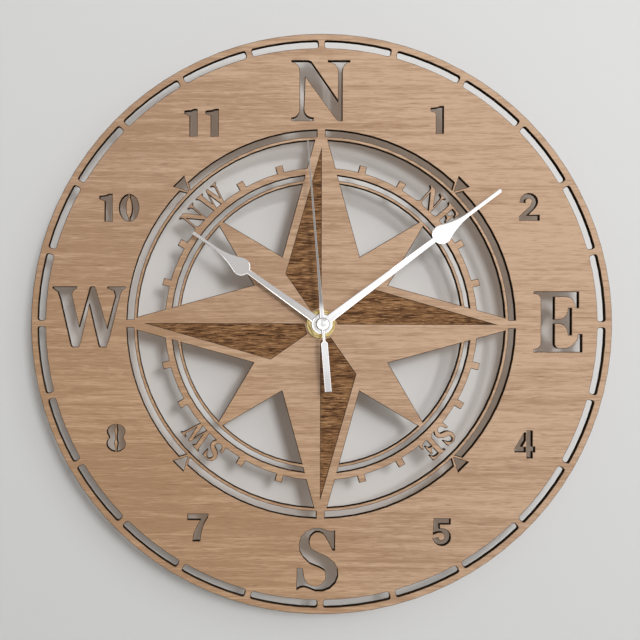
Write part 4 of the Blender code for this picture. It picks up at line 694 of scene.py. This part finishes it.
@dataclass(frozen=True)
class BoardLacquer:
    """Green circuit board lacquer over copper tracks."""

    colour: Colour = (0.02, 0.12, 0.05)
    track: Colour = (0.05, 0.24, 0.09)
    track_scale: float = 700.0
    track_width: float = 0.12
    track_blur: float = 0.1
    track_depth: float = 0.03 * MM
    cloud: Noise = Noise(even(300.0))
    roughness: Span = (0.25, 0.4)

    def build(self) -> bpy.types.Material:
        """Builds the material.

        Returns:
            The finished material.
        """
        s = Surface("board_lacquer")
        tracks = s.add("TexBrick", {"Vector": s.stretched(even(self.track_scale)), "Scale": 1.0,
                                    "Mortar Size": self.track_width,
                                    "Mortar Smooth": self.track_blur}).outputs["Fac"]
        s.set(Base_Color=s.mix(tracks, self.colour, self.track),
              Roughness=s.varied(s.noise(self.cloud), *self.roughness),
              Normal=s.bump(tracks, self.track_depth))
        return s.material


@dataclass(frozen=True)
class CellSleeve:
    """Sleeve of the battery: dark, with a copper-coloured band at its positive end."""

    band_start: float
    band_end: float
    border: float = 0.1 * MM
    end_span: Span = (0.8, 0.9)
    body: Colour = (0.012, 0.012, 0.014)
    band: Colour = (0.52, 0.26, 0.10)
    steel: Colour = (0.62, 0.62, 0.60)
    metal_share: float = 0.9
    scuffs: Noise = Noise((60.0, 600.0, 600.0))
    scuff_span: Span = (0.35, 0.7)
    scuff_depth: float = 0.01 * MM
    roughness: Span = (0.22, 0.42)

    def build(self) -> bpy.types.Material:
        """Builds the material.

        Returns:
            The finished material.
        """
        s = Surface("cell_sleeve")
        along = s.place_along("X")
        banded = s.ramp(along, self.band_start, self.band_start + self.border)
        ends = s.ramp(s.maths("ABSOLUTE", s.normal_along("X")), *self.end_span)
        bare = s.maths("MAXIMUM", ends, s.ramp(along, self.band_end, self.band_end + self.border))
        metal = s.maths("MAXIMUM", bare, banded)
        scuffs = s.noise(self.scuffs)
        s.set(Base_Color=s.mix(bare, s.mix(banded, self.body, self.band), self.steel),
              Metallic=s.ramp(metal, 0.0, 1.0, 0.0, self.metal_share),
              Roughness=s.ramp(scuffs, *self.scuff_span, *self.roughness),
              Normal=s.bump(scuffs, self.scuff_depth))
        return s.material


@dataclass(frozen=True)
class RoomPaint:
    """A matt paint with a faint roller texture."""

    name: str
    colour: Colour
    cloud: Noise = Noise(even(1.5), 2.0)
    cloud_light: float = 0.97
    grain: Noise = Noise(even(700.0))
    grain_depth: float = 0.02 * MM
    roughness: float = 0.9
    shine: float = 0.1

    def surface(self) -> Surface:
        """Builds the paint as a surface that more can be added to.

        Returns:
            The surface.
        """
        s = Surface(self.name)
        cloud = s.varied(s.noise(self.cloud), 0.0, 1.0)
        s.set(Base_Color=s.mix(cloud, self.colour, scaled(self.colour, self.cloud_light)),
              Roughness=self.roughness, Specular_IOR_Level=self.shine,
              Normal=s.bump(s.noise(self.grain), self.grain_depth))
        return s


# Finer copies of frame nodes
def folded(edge: bmesh.types.BMEdge) -> bool:
    """Tells whether the surface turns sharply outwards at an edge.

    Args:
        edge: The edge.

    Returns:
        Whether it does.
    """
    if len(edge.link_faces) != 2 or not edge.is_convex:
        return False
    return math.degrees(edge.calc_face_angle(0.0)) > FOLD_ANGLE


def round_a_flat(edge: bmesh.types.BMEdge) -> bool:
    """Tells whether a face that looks forwards or backwards meets a wall at an edge.

    Args:
        edge: The edge.

    Returns:
        Whether it does.
    """
    if not folded(edge):
        return False
    lower, higher = sorted(abs(face.normal.y) for face in edge.link_faces)
    return lower < WALL_SHARE and higher > FLAT_SHARE


def rounds_the_front(edge: bmesh.types.BMEdge) -> bool:
    """Tells whether a face that looks forwards meets a wall at an edge."""
    return round_a_flat(edge) and min(face.normal.y for face in edge.link_faces) < -FLAT_SHARE


def mesh_object(name: str, mesh: bpy.types.Mesh) -> bpy.types.Object:
    """Adds an object for a mesh to the scene.

    Args:
        name: The object's name.
        mesh: The mesh.

    Returns:
        The object.
    """
    thing = bpy.data.objects.new(name, mesh)
    bpy.context.scene.collection.objects.link(thing)
    return thing


def set_creases(mesh: bpy.types.Mesh) -> None:
    """Shades a mesh smooth, apart from its creases and its flat front and rear faces.

    Args:
        mesh: The mesh.
    """
    work = bmesh.new()
    work.from_mesh(mesh)
    for face in work.faces:
        face.smooth = abs(face.normal.y) < FLAT_SHARE
    for edge in work.edges:
        edge.smooth = math.degrees(edge.calc_face_angle(0.0)) < CREASE_ANGLE
    work.to_mesh(mesh)
    work.free()


def refill_flats(work: bmesh.types.BMesh, levels: set[float]) -> None:
    """Fills flat faces again from their outlines, since easing these folds their triangles.

    Args:
        work: The mesh, in millimetres.
        levels: The faces' Y coordinates, each on the side that its outline was eased on.
    """
    work.normal_update()
    for level in sorted(levels):
        flats = [face for face in work.faces if abs(face.normal.y) > FLAT_SHARE
                 and all(abs(vert.co.y - level) < LEVEL_TOLERANCE for vert in face.verts)]
        side = math.copysign(1.0, sum(face.normal.y * face.calc_area() for face in flats))
        old = set(flats)
        outline = [edge for edge in work.edges
                   if sum(face in old for face in edge.link_faces) == 1]
        bmesh.ops.delete(work, geom=flats, context="FACES")
        filled = bmesh.ops.triangle_fill(work, use_beauty=True, use_dissolve=False,
                                         edges=outline, normal=(0.0, side, 0.0))
        for face in filled["geom"]:
            if isinstance(face, bmesh.types.BMFace):
                face.material_index = 0


@dataclass
class EasedCopy:
    """A node's mesh with its sharp outer edges eased, which stands for the node."""

    node: str
    body: Body
    slot: Slot
    width: float
    segments: int = 1
    chosen: EdgeTest = round_a_flat
    edge_finish: int = -1
    wall_finish: int = 0

    def ease(self, work: bmesh.types.BMesh) -> int:
        """Eases the chosen edges.

        Args:
            work: The mesh, in metres.

        Returns:
            The number of edges.
        """
        bmesh.ops.scale(work, vec=even(1.0 / MM), verts=work.verts)
        bmesh.ops.remove_doubles(work, verts=work.verts, dist=WELD_DISTANCE)
        refilled = self.chosen in (round_a_flat, rounds_the_front)
        if not refilled:
            bmesh.ops.dissolve_limit(work, angle_limit=math.radians(FLAT_ANGLE),
                                     verts=work.verts, edges=work.edges)
        work.normal_update()
        for face in work.faces:
            is_wall = abs(face.normal.y) < WALL_SHARE
            face.material_index = self.wall_finish if is_wall else 0
        edges = [edge for edge in work.edges if self.chosen(edge)]
        levels = {round(face.verts[0].co.y, LEVEL_DIGITS) for edge in edges
                  for face in edge.link_faces if abs(face.normal.y) > FLAT_SHARE}
        bmesh.ops.bevel(work, geom=edges, offset=self.width / MM, offset_type="OFFSET",
                        segments=self.segments, profile=ROUND_PROFILE, affect="EDGES",
                        clamp_overlap=False, material=self.edge_finish)
        if refilled:
            refill_flats(work, levels)
        bmesh.ops.scale(work, vec=even(MM), verts=work.verts)
        return len(edges)

    def build(self, *materials: bpy.types.Material) -> bpy.types.Object:
        """Builds the copy and puts it in the node's place.

        Args:
            materials: The finishes, of which the first is that of the faces.

        Returns:
            The copy.
        """
        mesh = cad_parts[self.node].data.copy()
        mesh.materials.clear()
        for material in materials:
            mesh.materials.append(material)
        work = bmesh.new()
        work.from_mesh(mesh)
        count = self.ease(work)
        work.to_mesh(mesh)
        work.free()
        set_creases(mesh)
        piece = mesh_object(self.node + "_finish", mesh)
        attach(piece, self.body.value)
        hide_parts(self.node)
        LOG.info("eased %d edges of %s", count, self.node)
        return piece


@dataclass
class Dressing:
    """A group of frame nodes that share one finish."""

    nodes: tuple[str, ...]
    finish: Finish

    def dress(self) -> None:
        """Gives every node of the group its finish."""
        material = self.finish.build()
        for name in self.nodes:
            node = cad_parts[name]
            node.data.materials.clear()
            node.data.materials.append(material)
            LOG.info("dressed %s in %s", name, material.name)


# Sub-assemblies
@dataclass
class Dial:
    """The pierced board."""

    node: str = "dial"
    edge_width: float = 0.28 * MM

    def dress(self) -> None:
        """Gives the board its veneer, its engraving and its scorched and eased cuts."""
        low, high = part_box(self.node)
        board = OakBoard(low.y, 0.5 * (high.x - low.x)).build()
        copy = EasedCopy(self.node, Body.BASE, Slot.OAK, self.edge_width, edge_finish=1,
                         wall_finish=2)
        copy.build(board, SingedEdge().build(), CharredWall().build())


@dataclass
class Hands:
    """The three hands and the cap over them."""

    minute_turn: float = 53.0
    hour_turn: float = -54.7
    second_turn: float = -4.8
    polish: float = 0.09
    hour_polish: float = 0.10
    # Painted shade: the hour hand's metal is darker than the other hands' to stand in for its
    # dimmer reflection.
    hour_shaded_colour: Colour = (0.79, 0.77, 0.76)
    # Painted shade: the second hand's needle is given this darker metal colour.
    needle_shaded_colour: Colour = (0.30, 0.285, 0.27)
    cap_polish: float = 0.24
    cap_colour: Colour = (0.93, 0.93, 0.93)
    rolled_edge: float = 0.32 * MM
    second_edge: float = 0.16 * MM

    def ease(self, node: str, body: Body, metal: HandMetal, width: float) -> None:
        """Gives a hand its metal and its rolled front edge.

        Args:
            node: The hand's node.
            body: The body that it rides on.
            metal: Its metal.
            width: The width of its edge.
        """
        EasedCopy(node, body, Slot.SILVER, width, segments=2,
                  chosen=rounds_the_front).build(metal.build())

    def dress(self) -> None:
        """Gives each hand polished metal, with painted shade darkening the hour hand and the second
        hand's needle, and the cap satin metal.
        """
        minute = HandMetal("minute_metal", self.polish, self.minute_turn)
        hour = HandMetal("hour_metal", self.hour_polish, self.hour_turn, self.hour_shaded_colour)
        second = HandMetal("second_metal", self.polish, self.second_turn,
                           needle_shaded_colour=self.needle_shaded_colour)
        self.ease("minute_hand", Body.MINUTES, minute, self.rolled_edge)
        self.ease("hour_hand", Body.HOURS, hour, self.rolled_edge)
        self.ease("second_hand", Body.SECONDS, second, self.second_edge)
        cap = Metal("cap_metal", self.cap_colour, self.cap_polish, spread=0.03)
        Dressing(("second_hand_cap",), cap).dress()


@dataclass
class Fixings:
    """Bush, nuts, washers and hanger."""

    thread_pitch: float = 0.5 * MM
    nut_edge: float = 0.25 * MM
    washer_edge: float = 0.12 * MM
    rubber_black: Colour = (0.02, 0.02, 0.02)
    zinc: Colour = (0.60, 0.62, 0.65)

    def dress(self) -> None:
        """Gives the brass, rubber and steel parts their finishes and eased edges."""
        brass = TurnedBrass("turned_brass").build()
        EasedCopy("hex_nut", Body.BASE, Slot.BRASS, self.nut_edge).build(brass)
        EasedCopy("brass_washer", Body.BASE, Slot.BRASS, self.washer_edge).build(brass)
        EasedCopy("minute_nut", Body.MINUTES, Slot.BRASS, self.washer_edge).build(brass)
        Dressing(("threaded_bush",), TurnedBrass("bush_brass", self.thread_pitch)).dress()
        rubber = Moulding("washer_rubber", self.rubber_black, roughness=0.7).build()
        EasedCopy("rubber_washer", Body.BASE, Slot.RUBBER, self.washer_edge,
                  segments=2).build(rubber)
        strip = Metal("zinc_strip", self.zinc, roughness=0.34).build()
        EasedCopy("hanger", Body.BASE, Slot.STEEL, self.washer_edge, chosen=folded).build(strip)


@dataclass
class RearMarks:
    """Marks sunk in the rear cover: the battery's poles and the way that the knob turns."""

    paint: Colour = (0.50, 0.50, 0.49)
    depth: float = 0.25 * MM
    stroke: float = 0.7 * MM
    pole_size: float = 3.4 * MM
    pole_across: float = 22.0 * MM
    pole_height: float = -8.2 * MM
    knob_across: float = -17.73 * MM
    arc_radius: float = 7.4 * MM
    arc_start: float = 25.0
    arc_end: float = 140.0
    arc_steps: int = 18
    head_size: float = 2.2 * MM

    def bar(self, across: float, upward: float, width: float, height: float) -> list[Point]:
        """The outline of an upright bar about a centre.

        Args:
            across: The centre's X.
            upward: The centre's Z.
            width: Size along X.
            height: Size along Z.

        Returns:
            Its corners.
        """
        return [(across + 0.5 * i * width, upward + 0.5 * j * height)
                for i, j in ((-1, -1), (1, -1), (1, 1), (-1, 1))]

    def cross(self, across: float, upward: float) -> list[Point]:
        """The outline of a plus sign about a centre.

        Args:
            across: The centre's X.
            upward: The centre's Z.

        Returns:
            Its corners.
        """
        a, b = 0.5 * self.stroke, 0.5 * self.pole_size
        steps = ((-a, -b), (a, -b), (a, -a), (b, -a), (b, a), (a, a),
                 (a, b), (-a, b), (-a, a), (-b, a), (-b, -a), (-a, -a))
        return [(across + x, upward + z) for x, z in steps]

    def round_knob(self, radius: float, angle: float) -> Point:
        """The point at a distance from the knob's axis, in a direction from +X towards +Z.

        Args:
            radius: The distance.
            angle: The direction.

        Returns:
            The point's X and Z.
        """
        turn = math.radians(angle)
        return self.knob_across + radius * math.cos(turn), radius * math.sin(turn)

    def arc_arrow(self) -> list[Point]:
        """The outline of the curved arrow over the knob.

        Returns:
            Its corners.
        """
        step = (self.arc_end - self.arc_start) / self.arc_steps
        angles = [self.arc_start + step * i for i in range(self.arc_steps + 1)]
        outer, inner = (self.arc_radius + side * 0.5 * self.stroke for side in (1, -1))
        head_outer, head_inner = (self.arc_radius + side * 0.5 * self.head_size
                                  for side in (1, -1))
        head_end = self.arc_end + math.degrees(self.head_size / self.arc_radius)
        head = [self.round_knob(head_outer, self.arc_end),
                self.round_knob(self.arc_radius, head_end),
                self.round_knob(head_inner, self.arc_end)]
        return ([self.round_knob(outer, angle) for angle in angles] + head
                + [self.round_knob(inner, angle) for angle in reversed(angles)])

    def cutter(self) -> bpy.types.Object:
        """Builds the prisms that cut the marks.

        Returns:
            One object with every prism.
        """
        outlines = (self.cross(self.pole_across, self.pole_height),
                    self.bar(-self.pole_across, self.pole_height, self.pole_size, self.stroke),
                    self.arc_arrow())
        work = bmesh.new()
        for outline in outlines:
            base = [work.verts.new((x, self.depth, z)) for x, z in outline]
            face = work.faces.new(base)
            raised = bmesh.ops.extrude_face_region(work, geom=[face])["geom"]
            moved = [item for item in raised if isinstance(item, bmesh.types.BMVert)]
            bmesh.ops.translate(work, verts=moved, vec=(0.0, -2.0 * self.depth, 0.0))
        bmesh.ops.recalc_face_normals(work, faces=work.faces)
        mesh = bpy.data.meshes.new("rear_marks_cutter")
        mesh.materials.append(Moulding("mark_paint", self.paint, roughness=0.6).build())
        work.to_mesh(mesh)
        work.free()
        return mesh_object("rear_marks_cutter", mesh)

    def cut(self, cover: bpy.types.Object) -> None:
        """Sinks the marks in the cover.

        Args:
            cover: The copy of the rear cover.
        """
        cutter = self.cutter()
        modifier = cover.modifiers.new("marks", "BOOLEAN")
        modifier.operation = "DIFFERENCE"
        modifier.solver = "EXACT"
        modifier.material_mode = "TRANSFER"
        modifier.object = cutter
        shown = cover.evaluated_get(bpy.context.evaluated_depsgraph_get())
        mesh = bpy.data.meshes.new_from_object(shown)
        cover.modifiers.clear()
        cover.data = mesh
        bpy.data.objects.remove(cutter)
        set_creases(mesh)
        LOG.info("sank the marks in the rear cover")


@dataclass
class Movement:
    """The battery movement: case, works and battery."""

    black: Colour = (0.026, 0.026, 0.027)
    knob_grey: Colour = (0.085, 0.085, 0.088)
    natural: Colour = (0.74, 0.71, 0.62)
    steel: Colour = (0.56, 0.57, 0.58)
    magnet_grey: Colour = (0.05, 0.05, 0.052)
    nickel: Colour = (0.72, 0.70, 0.66)
    sleeve_share: float = 0.74
    nub_length: float = 1.0 * MM
    case_edge: float = 0.3 * MM
    knob_edge: float = 0.15 * MM
    cell_edge: float = 0.25 * MM

    def on_outside(self, node: str) -> EdgeTest:
        """Makes the test for sharp edges on the left, right, top and bottom of a node's box.

        Args:
            node: The node's name.

        Returns:
            The test.
        """
        low, high = (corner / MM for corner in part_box(node))

        def on_a_side(vert: bmesh.types.BMVert) -> bool:
            """Tells whether a corner lies on one of the sides."""
            return any(min(abs(vert.co[i] - low[i]), abs(vert.co[i] - high[i])) < LEVEL_TOLERANCE
                       for i in (0, 2))

        def chosen(edge: bmesh.types.BMEdge) -> bool:
            """Tells whether a sharp edge runs along the sides."""
            return folded(edge) and all(on_a_side(vert) for vert in edge.verts)

        return chosen

    def dress_case(self) -> None:
        """Gives the case and the knob their finishes and eased edges."""
        plastic = Moulding("case_plastic", self.black, roughness=0.5).build()
        for node in ("case_front", "case_rear"):
            copy = EasedCopy(node, Body.BASE, Slot.BLACK, self.case_edge, segments=2,
                             chosen=self.on_outside(node))
            piece = copy.build(plastic)
            if node == "case_rear":
                RearMarks().cut(piece)
        knob = Moulding("knob_plastic", self.knob_grey, roughness=0.42).build()
        EasedCopy("setting_knob", Body.KNOB, Slot.BLACK, self.knob_edge).build(knob)

    def dress_battery(self) -> None:
        """Gives the battery its sleeve and eased edges."""
        low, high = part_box("battery_cell")
        band_start = low.x + self.sleeve_share * (high.x - low.x)
        sleeve = CellSleeve(band_start, high.x - self.nub_length).build()
        EasedCopy("battery_cell", Body.BATTERY, Slot.CELL, self.cell_edge, segments=3,
                  chosen=folded).build(sleeve)

    def dress_works(self) -> None:
        """Gives the works inside the case their finishes."""
        plastic = Moulding("natural_plastic", self.natural, roughness=0.38,
                           grain_depth=0.005 * MM, glow_through=0.2)
        Dressing(("train_bridge", "rotor_pinion", "intermediate_wheel", "seconds_wheel",
                  "third_wheel", "centre_gear", "motion_wheel", "hour_wheel", "coil_bobbin"),
                 plastic).dress()
        Dressing(("chip",), Moulding("chip_plastic", self.black, roughness=0.42)).dress()
        Dressing(("seconds_arbor", "minute_pipe"),
                 Metal("drawn_steel", self.steel, roughness=0.25)).dress()
        Dressing(("stator", "coil_core"),
                 Metal("stator_steel", self.steel, roughness=0.38,
                       streaks=Streaks.ALONG_X)).dress()
        Dressing(("rotor_magnet",),
                 Moulding("magnet_ceramic", self.magnet_grey, roughness=0.4)).dress()
        Dressing(("quartz_crystal", "battery_contact_positive", "battery_contact_negative"),
                 Metal("nickel_plate", self.nickel, roughness=0.18, spread=0.05)).dress()
        Dressing(("coil_winding",), Winding()).dress()
        Dressing(("circuit_board",), BoardLacquer()).dress()

    def dress(self) -> None:
        """Dresses the whole movement."""
        self.dress_case()
        self.dress_battery()
        self.dress_works()


# Surroundings
@dataclass(frozen=True)
class Lamp:
    """A soft lamp that points at the clock: its place, width and height, power and colour.

    Polished metal mirrors it only where that is asked for.
    """

    name: str
    place: Triple
    size: Point
    watts: float
    colour: Colour = (1.0, 1.0, 1.0)
    mirrored: bool = False

    def build(self) -> bpy.types.Object:
        """Adds the lamp to the scene.

        Returns:
            The lamp.
        """
        data = bpy.data.lights.new(self.name, "AREA")
        data.shape = "RECTANGLE"
        data.size, data.size_y = self.size
        data.energy = self.watts
        data.color = self.colour
        lamp = bpy.data.objects.new(self.name, data)
        lamp.location = self.place
        lamp.rotation_euler = (-Vector(self.place)).to_track_quat("-Z", "Y").to_euler()
        lamp.visible_glossy = self.mirrored
        bpy.context.scene.collection.objects.link(lamp)
        return lamp


@dataclass(frozen=True)
class Card:
    """A white card that only polished metal mirrors, as a studio sets beside the lens.

    It has a place, a width and height, and a brightness, where 1 is white.
    """

    name: str
    place: Triple
    size: Point
    brightness: float

    def build(self) -> None:
        """Adds the card to the scene, upright and facing the clock."""
        watts = math.pi * self.size[0] * self.size[1] * self.brightness
        card = Lamp(self.name, self.place, self.size, watts, mirrored=True).build()
        in_front = self.place[1] < 0.0
        card.rotation_euler = (math.radians(90.0 if in_front else -90.0), 0.0, 0.0)
        card.visible_diffuse = False


@dataclass
class Room:
    """The wall that the clock hangs on, the floor far below, and the light."""

    wall_gap: float = 0.3 * MM
    half_width: float = 3.0
    floor_level: float = -1.1
    wall_colour: Colour = (0.685, 0.695, 0.70)
    floor_colour: Colour = (0.66, 0.65, 0.63)
    floor_lift: float = 0.55
    world_strength: float = 0.33
    surround_strength: float = 0.66
    surround_colour: Colour = (1.0, 0.99, 0.98)
    lamps: tuple[Lamp, ...] = (
        Lamp("window", (0.27, -1.15, 0.28), (0.25, 0.27), 6.6, (1.0, 0.99, 0.975)),
        Lamp("room_window", (0.60, -1.15, 0.35), (0.9, 0.8), 3.6, (1.0, 0.99, 0.98)),
        Lamp("skylight", (0.35, -1.2, 0.9), (1.0, 0.8), 2.9, (1.0, 0.99, 0.98)),
        Lamp("rear_window", (-0.5, 2.0, 0.6), (1.0, 1.0), 20.0, mirrored=True))
    cards: tuple[Card, ...] = (
        Card("hand_card", (0.37, -1.2, 0.22), (0.51, 0.46), 0.55),
        Card("tail_card", (0.14, -1.2, -0.06), (0.10, 0.08), 0.35),
        Card("left_card", (-0.65, -1.2, 0.0), (0.8, 1.3), 1.6),
        Card("low_card", (0.1, -1.1, -0.68), (1.6, 0.76), 1.4),
        Card("right_card", (1.15, -1.1, -0.1), (0.8, 1.6), 1.8),
        Card("rear_card", (0.7, 1.2, 0.5), (0.7, 0.9), 1.6))

    def add_sheet(self, name: str, corners: list[Triple]) -> bpy.types.Object:
        """Adds a flat sheet that isn't part of the clock.

        Args:
            name: The sheet's name.
            corners: Its corners, counter-clockwise as seen from its front.

        Returns:
            The sheet.
        """
        mesh = bpy.data.meshes.new(name)
        mesh.from_pydata(corners, [], [tuple(range(len(corners)))])
        sheet = mesh_object(name, mesh)
        return sheet

    def build_wall(self) -> None:
        """The wall, which is open from behind so that the clock's rear can be looked at."""
        y, w, low = self.wall_gap, self.half_width, self.floor_level
        wall = self.add_sheet("wall", [(-w, y, low), (w, y, low), (w, y, w), (-w, y, w)])
        s = RoomPaint("wall_paint", self.wall_colour).surface()
        clear = s.add("BsdfTransparent")
        sides = s.add("NewGeometry")
        both = s.add("MixShader", {0: sides.outputs["Backfacing"], 1: s.shader.outputs[0],
                                   2: clear.outputs[0]})
        s.tree.links.new(both.outputs[0], s.tree.nodes["Material Output"].inputs[0])
        wall.data.materials.append(s.material)
        wall.visible_shadow = False
        wall.visible_diffuse = False

    def build_floor(self) -> None:
        """The pale floor, which is lifted towards white for the camera alone."""
        w, low = self.half_width, self.floor_level
        corners = [(-w, -w, low), (w, -w, low), (w, w, low), (-w, w, low)]
        floor = self.add_sheet("floor", corners)
        s = RoomPaint("floor_paint", self.floor_colour).surface()
        seen = s.add("LightPath").outputs["Is Camera Ray"]
        s.set(Emission_Color=self.floor_colour,
              Emission_Strength=s.maths("MULTIPLY", seen, self.floor_lift))
        floor.data.materials.append(s.material)

    def build_world(self) -> None:
        """An even pale surround, brighter to the eye and in metal than the light it gives."""
        world = bpy.data.worlds.new("surround")
        world.use_nodes = True
        bpy.context.scene.world = world
        tree = world.node_tree
        light = tree.nodes["Background"]
        seen = tree.nodes.new("ShaderNodeBackground")
        for node, strength in ((light, self.world_strength), (seen, self.surround_strength)):
            node.inputs["Color"].default_value = (*self.surround_colour, 1.0)
            node.inputs["Strength"].default_value = strength
        path = tree.nodes.new("ShaderNodeLightPath")
        direct = path.outputs["Is Camera Ray"]
        for name in ("Is Glossy Ray", "Is Transmission Ray"):
            either = tree.nodes.new("ShaderNodeMath")
            either.operation = "MAXIMUM"
            tree.links.new(direct, either.inputs[0])
            tree.links.new(path.outputs[name], either.inputs[1])
            direct = either.outputs[0]
        both = tree.nodes.new("ShaderNodeMixShader")
        for socket, source in zip(both.inputs, (direct, light.outputs[0], seen.outputs[0])):
            tree.links.new(source, socket)
        tree.links.new(both.outputs[0], tree.nodes["World Output"].inputs[0])

    def build(self) -> None:
        """Builds the wall, the floor and the light."""
        self.build_wall()
        self.build_floor()
        self.build_world()
        for light in (*self.lamps, *self.cards):
            light.build()
        LOG.info("built the room")


@dataclass
class Photographer:
    """The camera, placed and framed as in the photograph."""

    centre_pixel: Point = (320.9, 323.9)
    dial_width_pixels: float = 580.6
    distance: float = 410.0 * MM
    left: float = 42.0 * MM
    yaw: float = -0.4
    roll: float = 0.14
    sensor: float = 36.0
    nearest: float = 10.0 * MM

    def build(self) -> None:
        """Builds the camera so that the dial has its place and width in the photograph."""
        low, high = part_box("dial")
        target = Vector(((low.x + high.x) / 2, low.y, (low.z + high.z) / 2))
        data = bpy.data.cameras.new("camera")
        camera = bpy.data.objects.new("camera", data)
        camera.location = target + Vector((-self.left, -self.distance, 0.0))
        turn = (Matrix.Rotation(math.radians(-self.yaw), 4, "Z")
                @ Matrix.Rotation(math.radians(90), 4, "X"))
        turn = turn @ Matrix.Rotation(math.radians(self.roll), 4, "Z")
        camera.rotation_euler = turn.to_euler()
        bpy.context.scene.collection.objects.link(camera)
        bpy.context.scene.camera = camera
        seen = turn.to_3x3().transposed() @ (target - camera.location)
        across = seen.x / -seen.z
        upward = seen.y / -seen.z
        share = (high.x - low.x) / -seen.z
        data.sensor_width = self.sensor
        data.lens = self.sensor * (self.dial_width_pixels / PHOTO_SIDE) / share
        data.shift_x = across * data.lens / self.sensor - (self.centre_pixel[0] / PHOTO_SIDE - 0.5)
        data.shift_y = upward * data.lens / self.sensor + (self.centre_pixel[1] / PHOTO_SIDE - 0.5)
        data.clip_start = self.nearest
        LOG.info("camera lens %.1f mm, shift %.3f, %.3f", data.lens, data.shift_x, data.shift_y)


def main() -> None:
    """Builds the sub-assemblies, the room and the camera in order."""
    logging.basicConfig(level=logging.INFO, format="%(name)s: %(message)s")
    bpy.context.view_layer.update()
    for part in (Dial(), Hands(), Fixings(), Movement()):
        part.dress()
    Room().build()
    Photographer().build()
    bpy.context.scene.view_settings.view_transform = "Standard"


if __name__ == "__main__":
    main()
